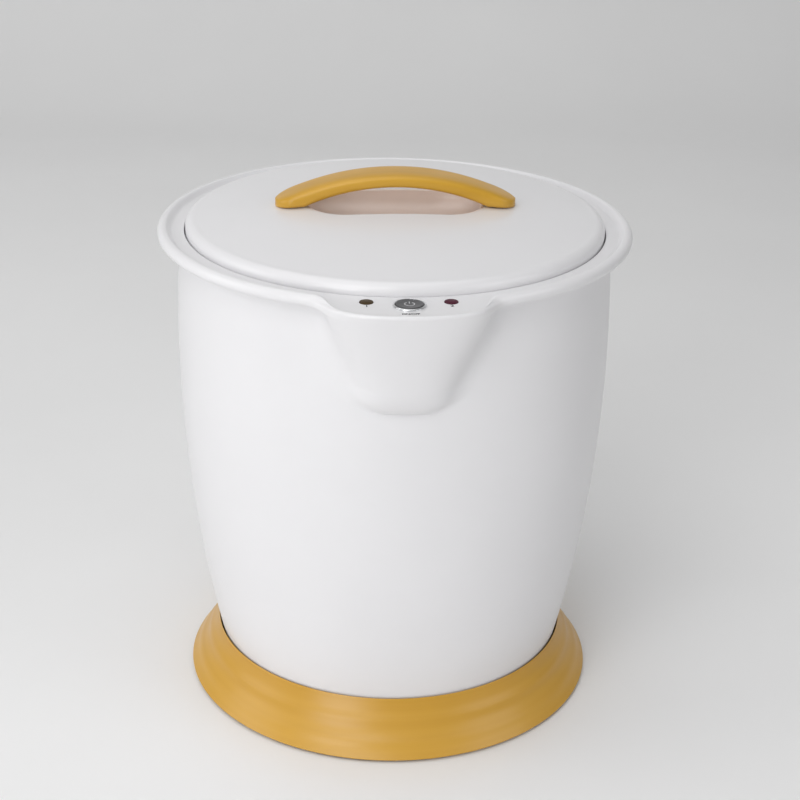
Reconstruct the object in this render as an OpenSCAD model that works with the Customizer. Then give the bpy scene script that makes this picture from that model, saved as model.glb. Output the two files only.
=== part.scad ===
// Towel warmer bucket: a barrel-shaped heated pot on a flared base, with a lift-off lid
// and a control nose that grows out of the rim. Millimetres, +Z up, nose towards -Y.

/* [Outer shell] */
// Height of the rim's crest above the floor
rim_z = 338; // [334:1:342]
// Outer radius of the rolled rim
rim_r = 160; // [158:0.5:163]
// Height of the rolled rim's outer edge
rim_h = 8.4; // [7:0.2:9]
// Width of the raised bead on top of the rim
bead_w = 5.5; // [4:0.5:6]
// Width of the flat band between the bead and the lid's seat
band_w = 6.1; // [5:0.1:7]
// Radius of the hollow curve under the rim
cove_r = 9; // [6:0.5:10]
// How far the rim stands out past the widest place of the wall
rim_overhang = 11.7; // [11:0.1:13]
// Height of the wall's widest place
barrel_z = 255; // [245:1:265]
// Radius of the curve that the wall follows from bottom to top
barrel_curve = 1000; // [950:10:1200]
// Thickness of the moulded wall
wall = 2.6; // [2.2:0.1:3]
// Depth of the lid seat below the band
lid_seat_depth = 8.5; // [8:0.5:9]
// Depth of the flat band below the rim's crest
band_drop = 3.5; // [2.5:0.5:4]
// Width of the ledge under the lid's seat that carries the pot
ledge_w = 13; // [11:0.5:14]

/* [Control nose] */
// How far the nose reaches past the rim
nose_out = 16; // [13:0.5:19]
// Half width of the nose at its top edge
nose_half_w = 52.5; // [49:0.5:56]
// How far the nose's widest line lies inside the rim
nose_wide_in = 15; // [13:0.5:17]
// Height of the nose from its foot to its top edge
nose_h = 77; // [70:1:84]
// How far the nose stands out from the wall at its foot
nose_foot_out = 4.7; // [3:0.1:7]
// Half width of the nose at its foot
nose_foot_half_w = 27; // [22:1:32]
// Radius that rounds the foot of the nose
nose_foot_r = 12; // [9:0.5:14]
// Radius that rounds the nose's top edge
nose_edge_r = 2.4; // [1.6:0.2:3.2]
// Fillet where the nose's sides leave the rim and the wall
nose_fillet = 9; // [5:0.5:12]
// Width of the raised edge round the control panel
panel_edge = 4.4; // [3.6:0.1:6]
// Thickness of the control panel
panel_t = 2.5; // [2:0.1:3]

/* [Controls] */
// Radius of the button's cap
cap_r = 8.5; // [7.5:0.1:9]
// Width of the trim ring's visible flange
bezel_w = 1.5; // [1.2:0.1:2]
// Height of the trim ring above the panel
bezel_h = 1.2; // [0.8:0.1:1.6]
// Distance of the button from the nose's front
button_in = 19; // [17:0.5:20]
// Travel of the button
button_travel = 1.2; // [0.8:0.1:1.5]
// Radius of the two signal lenses
lens_r = 4.4; // [3.5:0.1:4.4]
// Sideways distance of each lens from the middle
lens_x = 25.5; // [22:0.5:28]
// Distance of the lenses from the nose's front
lens_in = 25.4; // [23:0.1:26]
// Thickness of the circuit board
board_t = 1.6; // [1.2:0.1:2]
// Distance from the panel down to the board
board_gap = 12; // [11.5:0.5:14]

/* [Lid] */
// Rise of the lid's crown above the rim
crown_rise = 14; // [12:0.5:16]
// Radius of the lid's shallow dome
dome_curve = 945; // [850:5:1100]
// Gap between the lid and its seat
lid_gap = 2.8; // [2:0.1:3.4]
// Width of the lid's rounded shoulder
shoulder_w = 7; // [5:0.5:9]
// Thickness of the lid's cover
lid_t = 2.4; // [2:0.1:3]
// Half length of the finger well
well_half_l = 60; // [57:0.5:62]
// Half width of the finger well
well_half_w = 29; // [26:0.5:31]
// Depth of the finger well
well_depth = 15; // [13:0.5:16]
// Thickness of the finger well's bowl
well_t = 1.8; // [1.4:0.1:2.2]
// Depth of the lid's inner plate below its flange
plug_depth = 14; // [12:0.5:15]
// Clearance between the inner plate and the pot
plug_gap = 4; // [3:0.5:6]
// Thickness of the lid's inner plate
plate_t = 2; // [1.6:0.1:2.4]
// Thickness of the lid's seal
seal_t = 2.2; // [1.8:0.1:2.6]

/* [Handle] */
// Half length of the handle
handle_half_l = 81; // [79:0.5:83]
// Half width of the handle at its middle
handle_half_w = 13.3; // [12:0.1:14.5]
// Rise of the handle above the lid's crown
handle_rise = 21; // [19:0.5:23]
// Thickness of the handle at its middle
handle_t = 8.5; // [7.5:0.5:10]
// Height of the handle's blunt outer end
handle_end_h = 4; // [3:0.5:5]
// Distance of each handle screw from the middle
handle_screw_x = 70; // [68:0.5:72]

/* [Base] */
// How far the flared base stands out at the floor, past its upper edge
base_flare = 20.9; // [17:0.1:24]
// Height of the flared base's upper edge
base_h = 38; // [34:1:39]
// Hollow of the flare, measured from a straight slope
base_hollow = 2; // [0.5:0.5:3]
// Thickness of the flared skirt
skirt_t = 3; // [2.4:0.2:3.6]
// Gap between the floor and the skirt
skirt_lift = 1.5; // [1:0.5:2]
// Radius of each rubber foot
foot_r = 10; // [8:0.5:11]
// Height of each rubber foot
foot_h = 5; // [4.5:0.1:5.4]
// Distance of the feet's middles from the flared base's edge
foot_in = 24.3; // [22:0.1:27]
// Thickness of the bottom plate
bottom_t = 3.5; // [3:0.1:4]
// Thickness of the shelf inside the flared base
shelf_t = 3; // [2.6:0.1:3.4]
// Distance of the gland's middle above the flared base
gland_rise = 13; // [12:0.5:18]
// Radius of the hole for the mains cord
cord_hole_r = 3.7; // [3:0.1:4.2]
// Length of the gland's sleeve outside the wall
gland_sleeve_l = 12; // [8:0.5:16]

/* [Pot and heating] */
// Gap between the pot's mouth and the ledge round it
pot_gap = 2; // [1.5:0.1:4]
// How much smaller the pot's radius is at its floor
pot_taper = 16; // [14:0.5:24]
// Thickness of the pot's wall
pot_t = 1.2; // [1:0.1:1.5]
// Height of the pot's floor above the table
pot_floor_z = 62; // [60:1:70]
// Radius of the curve between the pot's wall and floor
pot_corner_r = 14; // [8:1:18]
// Thickness of the heating wrap
heater_t = 1.4; // [1:0.1:2]
// Thickness of the insulating wrap
fleece_t = 6; // [5:0.5:6.5]
// Distance of the wraps above the pot's floor
wrap_rise = 30; // [26:1:48]
// Height of the wraps
wrap_h = 163; // [120:1:180]
// Thickness of the floor heater
pad_t = 3; // [2:0.5:4]
// Distance of the floor heater from the pot's rounded corner
pad_gap = 8; // [4:0.5:20]
// Thickness of the insulation below the pot
felt_t = 10; // [8:0.5:12]
// Radius of the hole round the thermostat
stat_hole_r = 22; // [20:0.5:26]

/* [Hidden] */
$fn = 96;

white = "#ECEBED";
ochre = "#CF9F3F";
sand = "#D0BEB5";
steel = "#B9BCC0";
dark = "#3A3C40";

fit = 0.1;        // clearance between pieces that are fixed to each other
play = 0.3;       // clearance between pieces that move past each other
touch = 0.03;     // gap between curved faces that lie on each other
over = 1;         // how far a cut runs past a face
steps = 40;       // points on a long smooth curve
bend_steps = 10;  // points on a short round

// the footprint runs from the nose to the back of the rim, and its middle is the origin
axis_y = nose_out / 2;

lip_r = rim_h / 2;
barrel_r = rim_r - rim_overhang;
bead_in_r = rim_r - lip_r - bead_w;
lid_seat_r = bead_in_r - band_w;
ledge_r = lid_seat_r - ledge_w;
band_z = rim_z - band_drop;
seat_z = band_z - lid_seat_depth;
ledge_under_z = seat_z - wall;
rim_under_z = rim_z - rim_h;
cove_z = rim_under_z - cove_r;
seat_wall = 2;

foot_sunk = 1.5;
foot_lift = foot_h - foot_sunk;
shelf_z0 = foot_lift + bottom_t;
shell_z0 = shelf_z0 + shelf_t;
shelf_w = 10;
shelf_r = wall_r(shell_z0) - shelf_w;
base_top_r = wall_r(base_h) + 3 * play;
base_r = base_top_r + base_flare;
foot_ring_r = base_r - foot_in;
bottom_r = skirt_in(shelf_z0) - 1;
rib_t = 2.5;
rib_h = 6.5;
rib_r = 40;
boss_r = 5;
boss_h = 18;
boss_sunk = 0.6;
boss_ring_r = wall_r(shell_z0) - wall - boss_r + boss_sunk;
screw_r = 1.6;
screw_head_r = 3.5;
screw_head_t = 2;
screw_sunk = 0.8;

nose_reach = rim_r + nose_out;
nose_wide_y = rim_r - nose_wide_in;
nose_foot_reach = barrel_r + nose_foot_out;
nose_drop = 1.5;
nose_top_z = rim_z - nose_drop;
nose_foot_z = nose_top_z - nose_h;
nose_mid_z = nose_foot_z + 0.67 * nose_h;
nose_belly = 1.5;
nose_power = 2.4;
nose_turn = 25;
nose_cols = 14;
nose_proud = 0.06;
panel_fillet = 6;
panel_under_z = band_z - panel_t;
panel_post_r = 3;

bezel_in_r = cap_r + 0.25;
bezel_neck_r = bezel_in_r + 0.75;
bezel_neck_z = panel_under_z - 1;
cap_top_z = band_z + bezel_h + 0.3;
cap_flange_t = 1.2;
cap_flange_z = bezel_neck_z - 0.4 - cap_flange_t;
button_y = nose_reach - button_in;
lens_y = nose_reach - lens_in;
lens_flange_w = 0.4;
lens_flange_t = 1.5;
board_top_z = panel_under_z - board_gap;
board_y0 = lens_y - 2.2;
board_edge = 4;
board_gap_in = 1.2;
board_screw_in = 17.5;
board_screw_back = 1;
board_screw_x = nose_half_w - board_screw_in;
board_screw_y = button_y - board_screw_back;
board_screw_r = 1.1;
board_screw_l = 7;
board_screw_head_t = 1.5;
switch_w = 6;
switch_h = 4;
plunger_r = 1.7;
plunger_z = board_top_z + 2.6;
stem_z = board_top_z + switch_h + button_travel + 0.8;
led_r = 2.4;
led_h = 6;

gland_flange_t = 2.4;
gland_neck_r = cord_hole_r + gland_flange_t;
gland_flange_r = gland_neck_r + 2.8;
gland_boss_r = gland_flange_r + 2;
gland_z = base_h + gland_rise;
gland_face_y = wall_r(gland_z + gland_boss_r) + fit;
gland_boss_t = gland_face_y - wall_r(gland_z) + wall + 2 * gland_flange_t;

gasket_t = 1.2;
gasket_in = 0.5;
flange_r = lid_seat_r - 5.5;
pot_r = ledge_r - pot_gap - pot_t;
pot_floor_r = pot_r - pot_taper;
pot_flange_z = seat_z + gasket_t;
pot_top_z = pot_flange_z + pot_t;
wrap_z0 = pot_floor_z + wrap_rise;
wrap_z1 = wrap_z0 + wrap_h;
pad_r = pot_floor_r - pot_corner_r - pad_gap;
felt_margin = 5;

crown_z = rim_z + crown_rise;
lid_r = lid_seat_r - lid_gap;
seal_z = pot_top_z + play + 0.1;
lid_flange_z = seal_z + seal_t;
plug_z = lid_flange_z - plug_depth;
plug_r = pot_r - plug_gap;
skirt_z = seat_z + 4;
shoulder_z = dome_z(lid_r - shoulder_w);
shoulder_h = shoulder_w * 0.85;
well_floor_z = crown_z - well_depth;
well_edge_h = 5;
well_flange_w = 6;
bowl_fullness = 0.67;
plug_chamfer = 4;
lid_boss_in = 24;
lid_boss_ring_r = plug_r - lid_boss_in;
lid_boss_r = 4.5;
lid_screw_l = 12;

handle_top_z = crown_z + handle_rise;
handle_arc = arc_radius(handle_half_l, handle_top_z - dome_z(handle_half_l) - handle_end_h);
grip_half_l = well_half_l + 0.5;
grip_z = handle_top_z - handle_t;
grip_arc = arc_radius(grip_half_l, grip_z - dome_z(grip_half_l));

felt_z = pot_floor_z - pad_t - felt_t;
post_r = 7;
post_foot_w = 4;
post_foot_t = 3;
post_in = 20;
post_ring_r = pad_r - post_in;
stat_r = 8;
stat_h = 11;
stat_lip_w = 2;
tag_h = 7;
fuse_r = 2.4;
fuse_l = 14;
fuse_y = 16;

terminal_l = 36;
terminal_w = 16;
terminal_h = 16;
terminal_in = 10;
terminal_y = pad_r - terminal_in;
terminal_step = 11;
terminal_hole_r = 3;
lead_r = 1.6;
lead_z = 30;
lead_under_nose = 4.5;

// radius of an arc with half chord c and height h
function arc_radius(c, h) = (c * c + h * h) / (2 * h);
// outer radius of the barrel-shaped wall at height z
function wall_r(z) = barrel_r - barrel_curve + sqrt(barrel_curve * barrel_curve - pow(z - barrel_z, 2));
// height of the lid's dome at radius r
function dome_z(r) = crown_z - dome_curve + sqrt(dome_curve * dome_curve - r * r);
// outer radius of the pot at height z
function pot_out(z) = pot_floor_r + (pot_r - pot_floor_r) * (z - pot_floor_z) / (pot_top_z - pot_floor_z) + pot_t;
// points of a round from angle a0 to a1
function bend(x, z, r, a0, a1, n = bend_steps) =
    [for (i = [0:n]) let (a = a0 + (a1 - a0) * i / n) [x + r * cos(a), z + r * sin(a)]];
// a share from 0 to 1
function share(v) = min(1, max(0, v));
// rounded oblong with half lengths a and b, fuller than an ellipse
function oblong(a, b, n = 32) =
    [for (i = [0:n - 1]) let (t = 360 * i / n)
        [a * sign(cos(t)) * pow(abs(cos(t)), 2 / nose_power), b * sign(sin(t)) * pow(abs(sin(t)), 2 / nose_power)]];
// outer radius of wall, cove and rolled lip at height z
function form_r(z) =
    z < cove_z ? wall_r(z)
    : z < rim_under_z ? wall_r(cove_z) + cove_r - sqrt(pow(cove_r, 2) - pow(z - cove_z, 2))
    : rim_r - lip_r + sqrt(max(0, pow(lip_r, 2) - pow(z - rim_under_z - lip_r, 2)));
// how far the same surface faces down at height z, from 0 to 1
function form_lean(z) = z < rim_under_z ? share((z - cove_z) / cove_r) : share(1 - (z - rim_under_z) / lip_r);
// how far the nose's round foot has opened at height z, from 0 to 1
function nose_open(z) = sqrt(1 - pow(1 - share((z - nose_foot_z) / nose_foot_r), 2));
// half width of the nose at height z: a round foot, slanting flanks and a belly below the top
function nose_half(z) =
    let (low = nose_foot_z + nose_foot_r, s = share((z - low) / (nose_mid_z - low)),
        u = share((z - nose_mid_z) / (nose_top_z - nose_mid_z)))
    nose_foot_half_w - nose_foot_r * (1 - nose_open(z)) - nose_belly * u
        + (nose_half_w + nose_belly - nose_foot_half_w) * (1 - pow(1 - s, 1.6));
// reach of the nose's front at height z
function nose_front(z) =
    wall_r(z) + nose_open(z) * (nose_foot_reach - wall_r(z)
        + (nose_reach - nose_foot_reach) * share((z - nose_foot_z) / nose_h));
// distance of a point from the nose's oblong, near enough, negative inside
function oblong_gap(x, y, a, b) =
    let (u = abs(x) / a + 0.001, v = abs(y) / b + 0.001, g = pow(pow(u, nose_power) + pow(v, nose_power), 1 / nose_power))
    (g - 1) / (pow(g, 1 - nose_power) * norm([pow(u, nose_power - 1) / a, pow(v, nose_power - 1) / b]));
// two distances joined with a fillet of width k
function filleted(d1, d2, k) =
    let (h = share(0.5 + 0.5 * (d1 - d2) / k)) d1 * (1 - h) + d2 * h - k * h * (1 - h);
// polar radius at angle t of a circle joined to the nose's oblong, found by halving
function joined_r(t, base, a, b, k, low = 0, high = 0, n = 16) =
    let (lo = low == 0 ? base - 20 : low, hi = high == 0 ? nose_reach + 10 : high, r = (lo + hi) / 2)
    n == 0 ? r
    : filleted(r - base, oblong_gap(r * sin(t), r * cos(t) - nose_wide_y, a, b), k) > 0
        ? joined_r(t, base, a, b, k, lo, r, n - 1)
        : joined_r(t, base, a, b, k, r, hi, n - 1);
// outer radius of the flared skirt at height z, hollow between a wide foot and a narrow top
function skirt_out(z) =
    let (t = share((z - skirt_lift) / (base_h - skirt_lift)))
    base_r + (base_top_r - base_r) * t - 4 * base_hollow * t * (1 - t);
// inner radius of the flared skirt at height z
function skirt_in(z) = max(skirt_out(z) - 1.15 * skirt_t, wall_r(z) + fit);
// half width of the handle at distance x from its middle
function handle_w(x) =
    let (u = x / handle_half_l) (handle_half_w - 2 * u * u) * sqrt(max(0, 1 - pow(abs(u), 10)));

module on_axis() {
    translate([0, axis_y, 0]) children();
}

module ring(r_in, r_out, z0, z1) {
    rotate_extrude() translate([r_in, z0]) square([r_out - r_in, z1 - z0]);
}

module stadium(half_l, half_w, z0, z1) {
    translate([0, 0, z0]) linear_extrude(z1 - z0) union() {
        square([2 * (half_l - half_w), 2 * half_w], center = true);
        for (side = [-1, 1]) translate([side * (half_l - half_w), 0]) circle(half_w);
    }
}

// at the four base screws, between the feet
module at_base_screws() {
    for (a = [45:90:315]) rotate(a) translate([boss_ring_r, 0, 0]) children();
}

module at_feet() {
    for (a = [0:90:270]) rotate(a) translate([foot_ring_r, 0, 0]) children();
}

module at_lid_bosses() {
    for (a = [45:90:315]) rotate(a) translate([lid_boss_ring_r, 0, 0]) children();
}

module at_board_screws() {
    for (side = [-1, 1]) translate([side * board_screw_x, -board_screw_y, 0]) children();
}

// angles of the nose's columns, closest together where its sides meet the rim
nose_angles = [for (j = [-nose_cols:nose_cols]) let (u = abs(j) / nose_cols)
    nose_turn * sign(j) * (u - 0.5 * (sin(360 * (u - 0.65)) + sin(360 * 0.65)) / (2 * PI))];

// heights of the nose's rows: its round foot, its face, and the same places on cove and lip as the rim's profile
nose_rows = concat(
    [for (i = [0:4]) nose_foot_z + nose_foot_r * (1 - cos(22.5 * i))],
    [for (i = [1:6]) nose_foot_z + nose_foot_r + (cove_z - nose_foot_z - nose_foot_r) * i / 6],
    [for (i = [4:4:8]) cove_z + cove_r * sin(90 * i / bend_steps)],
    [for (i = [0:bend_steps]) rim_under_z + lip_r * (1 - cos(180 * i / bend_steps))]
);

// the nose as a wedge from the bucket's axis: rows of smoothly joined radii, its top edge lowered at the front
module nose_graft() {
    cols = len(nose_angles);
    rows = len(nose_rows);
    skin = [for (row = nose_rows, t = nose_angles)
        let (
            drop = nose_drop * (1 - share((abs(t) / nose_turn - 0.4) / 0.2)),
            z = row - drop * share((row - cove_z) / (rim_z - cove_z)) - nose_proud * form_lean(row),
            lift = share(1 - (rim_z - row) / nose_edge_r),
            inset = nose_edge_r * (1 - sqrt(1 - lift * lift)),
            k = 0.01 + nose_fillet * nose_open(z),
            r = joined_r(t, form_r(row), nose_half(z) - inset, nose_front(z) - nose_wide_y - inset, k) + nose_proud
        )
        [r * sin(t), -r * cos(t), z]];
    last = (rows - 1) * cols;
    foot = len(skin);
    top = foot + 1;
    polyhedron(
        points = concat(skin, [[0, 0, nose_rows[0]], [0, 0, cove_z]]),
        faces = concat(
            [for (i = [0:rows - 2], j = [0:cols - 2], half = [0, 1]) let (a = i * cols + j)
                half == 0 ? [a, a + cols, a + cols + 1] : [a, a + cols + 1, a + 1]],
            [for (j = [0:cols - 2]) [top, last + j + 1, last + j]],
            [concat([foot], [for (j = [0:cols - 1]) j])],
            [concat([top, foot], [for (i = [0:rows - 1]) i * cols + cols - 1])],
            [concat([top], [for (i = [rows - 1:-1:0]) i * cols], [foot])]
        )
    );
}

// the hollow inside the nose, a wall's thickness from its outside
module nose_hollow() {
    hull() {
        for (z = [nose_mid_z, panel_under_z - 0.2]) translate([0, -nose_wide_y, z]) linear_extrude(0.2)
            polygon(oblong(nose_half(z) - wall, nose_front(z) - nose_wide_y - wall));
        for (side = [-1, 1])
            translate([side * (nose_foot_half_w - nose_foot_r), nose_foot_r - nose_foot_reach, nose_foot_z + nose_foot_r])
                sphere(nose_foot_r - wall, $fn = 24);
    }
}

// the sunk control panel: the band's outline joined to the nose's, a raised edge inside both
module panel_recess() {
    half = nose_half(nose_top_z) - panel_edge;
    depth = nose_reach - nose_wide_y - panel_edge;
    translate([0, 0, band_z]) linear_extrude(band_drop + over) polygon(concat([[0, 0]],
        [for (t = nose_angles) let (r = joined_r(t, bead_in_r - fit, half, depth, panel_fillet))
            [r * sin(t), -r * cos(t)]]
    ));
}

// the whole shell as if it were solid
module shell_form() {
    rotate_extrude() polygon(concat(
        [[0, shell_z0]],
        [for (i = [0:steps])
            let (z = shell_z0 + (cove_z - shell_z0) * i / steps) [wall_r(z), z]],
        bend(wall_r(cove_z) + cove_r, cove_z, cove_r, 180, 90),
        bend(rim_r - lip_r, rim_under_z + lip_r, lip_r, -90, 90),
        [[0, rim_z]]
    ));
    nose_graft();
}

// everything inside the wall: the main hollow, the mouth, the lid's seat and the flat band
module shell_hollow() {
    rotate_extrude() polygon(concat(
        [[0, shell_z0 - over], [wall_r(shell_z0) - wall, shell_z0 - over]],
        [for (i = [0:steps])
            let (z = shell_z0 + (ledge_under_z - shell_z0) * i / steps) [wall_r(z) - wall, z]],
        [
            [ledge_r, ledge_under_z], [ledge_r, seat_z],
            [lid_seat_r, seat_z], [lid_seat_r, band_z],
            [bead_in_r, band_z], [rim_r - lip_r - 1, rim_z],
            [rim_r - lip_r - 1, rim_z + over], [0, rim_z + over]
        ]
    ));
}

module outer_shell() {
    color(white) on_axis() {
        difference() {
            union() {
                difference() {
                    shell_form();
                    shell_hollow();
                    difference() {
                        nose_hollow();
                        translate([0, 0, ledge_under_z]) cylinder(h = rim_z, r = lid_seat_r + seat_wall);
                    }
                    panel_recess();
                }
                at_base_screws() {
                    translate([0, 0, shell_z0]) cylinder(h = boss_h, r = boss_r);
                    translate([0, -rib_t / 2, shell_z0]) cube([boss_r + wall, rib_t, boss_h]);
                }
                at_board_screws() translate([0, 0, board_top_z])
                    cylinder(h = panel_under_z - board_top_z + 0.5 * panel_t, r = panel_post_r);
                translate([0, gland_face_y, gland_z]) rotate([90, 0, 0])
                    cylinder(h = gland_boss_t, r = gland_boss_r);
            }
            at_base_screws() translate([0, 0, shell_z0 - over]) cylinder(h = boss_h - 1, r = screw_r + fit);
            at_board_screws() translate([0, 0, board_top_z - over])
                cylinder(h = board_screw_l + 2 * over, r = board_screw_r + fit);
            translate([0, gland_face_y + over, gland_z]) rotate([90, 0, 0])
                cylinder(h = gland_boss_t + 2 * over, r = gland_neck_r + touch);
            translate([0, -button_y, panel_under_z - over]) cylinder(h = 2 * over + panel_t, r = bezel_neck_r + fit);
            for (side = [-1, 1]) translate([side * lens_x, -lens_y, panel_under_z - over])
                cylinder(h = 2 * over + panel_t, r = lens_r);
        }
    }
}

// flared skirt with an inner shelf that the shell stands on
module base_ring() {
    color(ochre) on_axis() difference() {
        union() {
            rotate_extrude() polygon(concat(
                [for (i = [0:steps]) let (z = skirt_lift + (base_h - skirt_lift) * i / steps) [skirt_out(z), z]],
                [for (i = [steps:-1:0]) let (z = skirt_lift + (base_h - skirt_lift) * i / steps) [skirt_in(z), z]]
            ));
            ring(shelf_r, skirt_in(shelf_z0 + shelf_t) + 1, shelf_z0, shelf_z0 + shelf_t);
        }
        at_base_screws() translate([0, 0, shelf_z0 - over]) cylinder(h = shelf_t + 2 * over, r = screw_r + play);
    }
}

// bottom plate with pockets for the feet, sunk screw seats and two stiffening rings
module base_plate() {
    color("#D8D8DA") on_axis() difference() {
        union() {
            translate([0, 0, foot_lift]) cylinder(h = bottom_t, r = bottom_r);
            for (r = [rib_r, shelf_r - 2 * rib_t]) ring(r - rib_t / 2, r + rib_t / 2, foot_lift, shelf_z0 + rib_h);
        }
        at_feet() translate([0, 0, foot_lift - over]) cylinder(h = foot_h - foot_lift + over, r = foot_r + fit);
        at_base_screws() {
            translate([0, 0, foot_lift - over]) cylinder(h = bottom_t + 2 * over, r = screw_r + play);
            translate([0, 0, foot_lift - over]) cylinder(h = screw_head_t + over, r = screw_head_r + play);
        }
    }
}

module rubber_feet() {
    color(dark) on_axis() at_feet() cylinder(h = foot_h, r = foot_r);
}

module base_screws() {
    color(steel) on_axis() at_base_screws() translate([0, 0, foot_lift]) {
        difference() {
            cylinder(h = screw_head_t, r = screw_head_r);
            translate([0, 0, -over]) cylinder(h = 0.6 * screw_head_t + over, r = screw_r, $fn = 6);
        }
        translate([0, 0, screw_head_t]) cylinder(h = bottom_t + shelf_t + 0.7 * boss_h - screw_head_t, r = screw_r);
    }
}

// grooved bush that lines the cord's hole in the back of the shell, with a sleeve that guides the cord
module cord_gland() {
    color(dark) on_axis() translate([0, gland_face_y, gland_z]) rotate([-90, 0, 0]) difference() {
        union() {
            cylinder(h = gland_flange_t, r = gland_flange_r);
            translate([0, 0, -gland_boss_t - over])
                cylinder(h = gland_boss_t + over + gland_sleeve_l, r = gland_neck_r);
            translate([0, 0, -gland_boss_t - gland_flange_t]) cylinder(h = gland_flange_t, r = gland_flange_r);
        }
        cylinder(h = gland_sleeve_l + over, r = cord_hole_r);
        translate([0, 0, -gland_boss_t - gland_flange_t - over])
            cylinder(h = gland_boss_t + gland_flange_t + over + play, r = cord_hole_r + play);
    }
}

// tapered pot with a flange, a rounded floor corner and a thin wall
module inner_pot() {
    slope = atan((pot_r - pot_floor_r) / (pot_top_z - pot_floor_z));
    corner_z = pot_floor_z + pot_t + pot_corner_r;
    corner_x = pot_out(corner_z) - pot_t - pot_corner_r / cos(slope);
    color(steel) on_axis() rotate_extrude() polygon(concat(
        [[0, pot_floor_z]],
        bend(corner_x, corner_z, pot_corner_r + pot_t, -90, -slope),
        [[pot_out(pot_flange_z), pot_flange_z], [flange_r, pot_flange_z], [flange_r, pot_top_z]],
        [[pot_r, pot_top_z]],
        bend(corner_x, corner_z, pot_corner_r, -slope, -90),
        [[0, pot_floor_z + pot_t]]
    ));
}

module pot_gasket() {
    color("#C9C7C2") on_axis() ring(ledge_r + gasket_in, flange_r, seat_z, pot_flange_z);
}

// a sleeve of thickness t that starts at distance gap from the pot's tapered wall
module pot_sleeve(gap, t) {
    rotate_extrude() polygon([
        [pot_out(wrap_z0) + gap, wrap_z0], [pot_out(wrap_z0) + gap + t, wrap_z0],
        [pot_out(wrap_z1) + gap + t, wrap_z1], [pot_out(wrap_z1) + gap, wrap_z1]
    ]);
}

module heating_wrap() {
    color("#B5603A") on_axis() pot_sleeve(touch, heater_t);
}

module insulation_wrap() {
    color("#E4E2DA") on_axis() pot_sleeve(2 * touch + heater_t, fleece_t);
}

module floor_heater() {
    color("#B5603A") on_axis() ring(stat_hole_r, pad_r, pot_floor_z - pad_t, pot_floor_z);
}

module insulation_disc() {
    color("#E4E2DA") on_axis() ring(stat_hole_r, pad_r + felt_margin, felt_z, felt_z + felt_t);
}

// three posts that carry the pot's floor, each with a foot flange
module support_posts() {
    color("#D8D8DA") on_axis() for (a = [0:120:240]) rotate(a) translate([post_ring_r, 0, shelf_z0]) {
        cylinder(h = felt_z - shelf_z0, r = post_r);
        cylinder(h = post_foot_t, r = post_r + post_foot_w);
    }
}

// disc thermostat against the pot's floor, with two tags
module thermostat() {
    color("#2E2C2B") on_axis() translate([0, 0, pot_floor_z - stat_h]) {
        cylinder(h = stat_h, r = stat_r);
        translate([0, 0, stat_h - stat_lip_w]) cylinder(h = stat_lip_w, r = stat_r + stat_lip_w);
        for (side = [-1, 1]) translate([side * stat_r / 2 - 0.4, -tag_h / 2, -tag_h]) cube([0.8, tag_h, tag_h + over]);
    }
}

// thermal fuse in a clip beside the thermostat
module thermal_fuse() {
    color("#D9D2BE") on_axis() translate([0, fuse_y, pot_floor_z - 1.25 * fuse_r]) {
        rotate([0, 90, 0]) cylinder(h = fuse_l, r = fuse_r, center = true);
        translate([-1.25 * fuse_r, -1.1 * fuse_r, -0.2 * fuse_r])
            cube([2.5 * fuse_r, 2.2 * fuse_r, 1.45 * fuse_r]);
    }
}

module terminal_block() {
    color("#E7E4D8") on_axis() translate([0, terminal_y, shelf_z0]) difference() {
        translate([-terminal_l / 2, -terminal_w / 2, 0]) cube([terminal_l, terminal_w, terminal_h]);
        for (i = [-1:1]) translate([i * terminal_step, 0, terminal_h - 2 * terminal_hole_r])
            cylinder(h = 2 * terminal_hole_r + over, r = terminal_hole_r);
    }
}

// insulated lead from the board down beside the wall and across to the terminals
module board_lead() {
    gap = wall + 2 * lead_r;
    points = concat(
        [[0, terminal_w / 2 - terminal_y, lead_z]],
        [for (z = [lead_z, wrap_z0, nose_foot_z - lead_under_nose]) [0, wall_r(z) - gap, z]],
        [[0, board_y0 + 2, board_top_z - board_t - play]]
    );
    color("#8A3B2E") on_axis() mirror([0, 1, 0]) for (i = [0:len(points) - 2]) {
        run = points[i + 1] - points[i];
        translate(points[i]) rotate([-acos(run[2] / norm(run)), 0, 0]) cylinder(h = norm(run), r = lead_r, $fn = 24);
        if (i > 0) translate(points[i]) sphere(lead_r + fit, $fn = 24);
    }
}

// board with its front corners cut to the nose's hollow
module control_board() {
    front = nose_front(board_top_z - board_t) - nose_wide_y - wall - board_gap_in;
    side = board_screw_x + board_edge;
    color("#2F6B45") on_axis() translate([0, 0, board_top_z - board_t]) difference() {
        linear_extrude(board_t) intersection() {
            translate([-side, -nose_reach]) square([2 * side, nose_reach - board_y0]);
            translate([0, -nose_wide_y]) polygon(oblong(nose_half_w - wall - board_gap_in, front));
        }
        at_board_screws() translate([0, 0, -over]) cylinder(h = board_t + 2 * over, r = board_screw_r + play);
    }
}

module board_screws() {
    color(steel) on_axis() at_board_screws() translate([0, 0, board_top_z - board_t]) {
        translate([0, 0, -board_screw_head_t]) cylinder(h = board_screw_head_t, r = 2 * board_screw_r);
        cylinder(h = board_t + board_screw_l, r = board_screw_r);
    }
}

// short-travel switch whose plunger stands under the button
module push_switch() {
    color(dark) on_axis() translate([0, -button_y, board_top_z]) difference() {
        translate([-switch_w / 2, -switch_w / 2, 0]) cube([switch_w, switch_w, switch_h]);
        translate([0, 0, plunger_z - board_top_z - button_travel - play])
            cylinder(h = switch_h, r = plunger_r + fit);
    }
}

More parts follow.
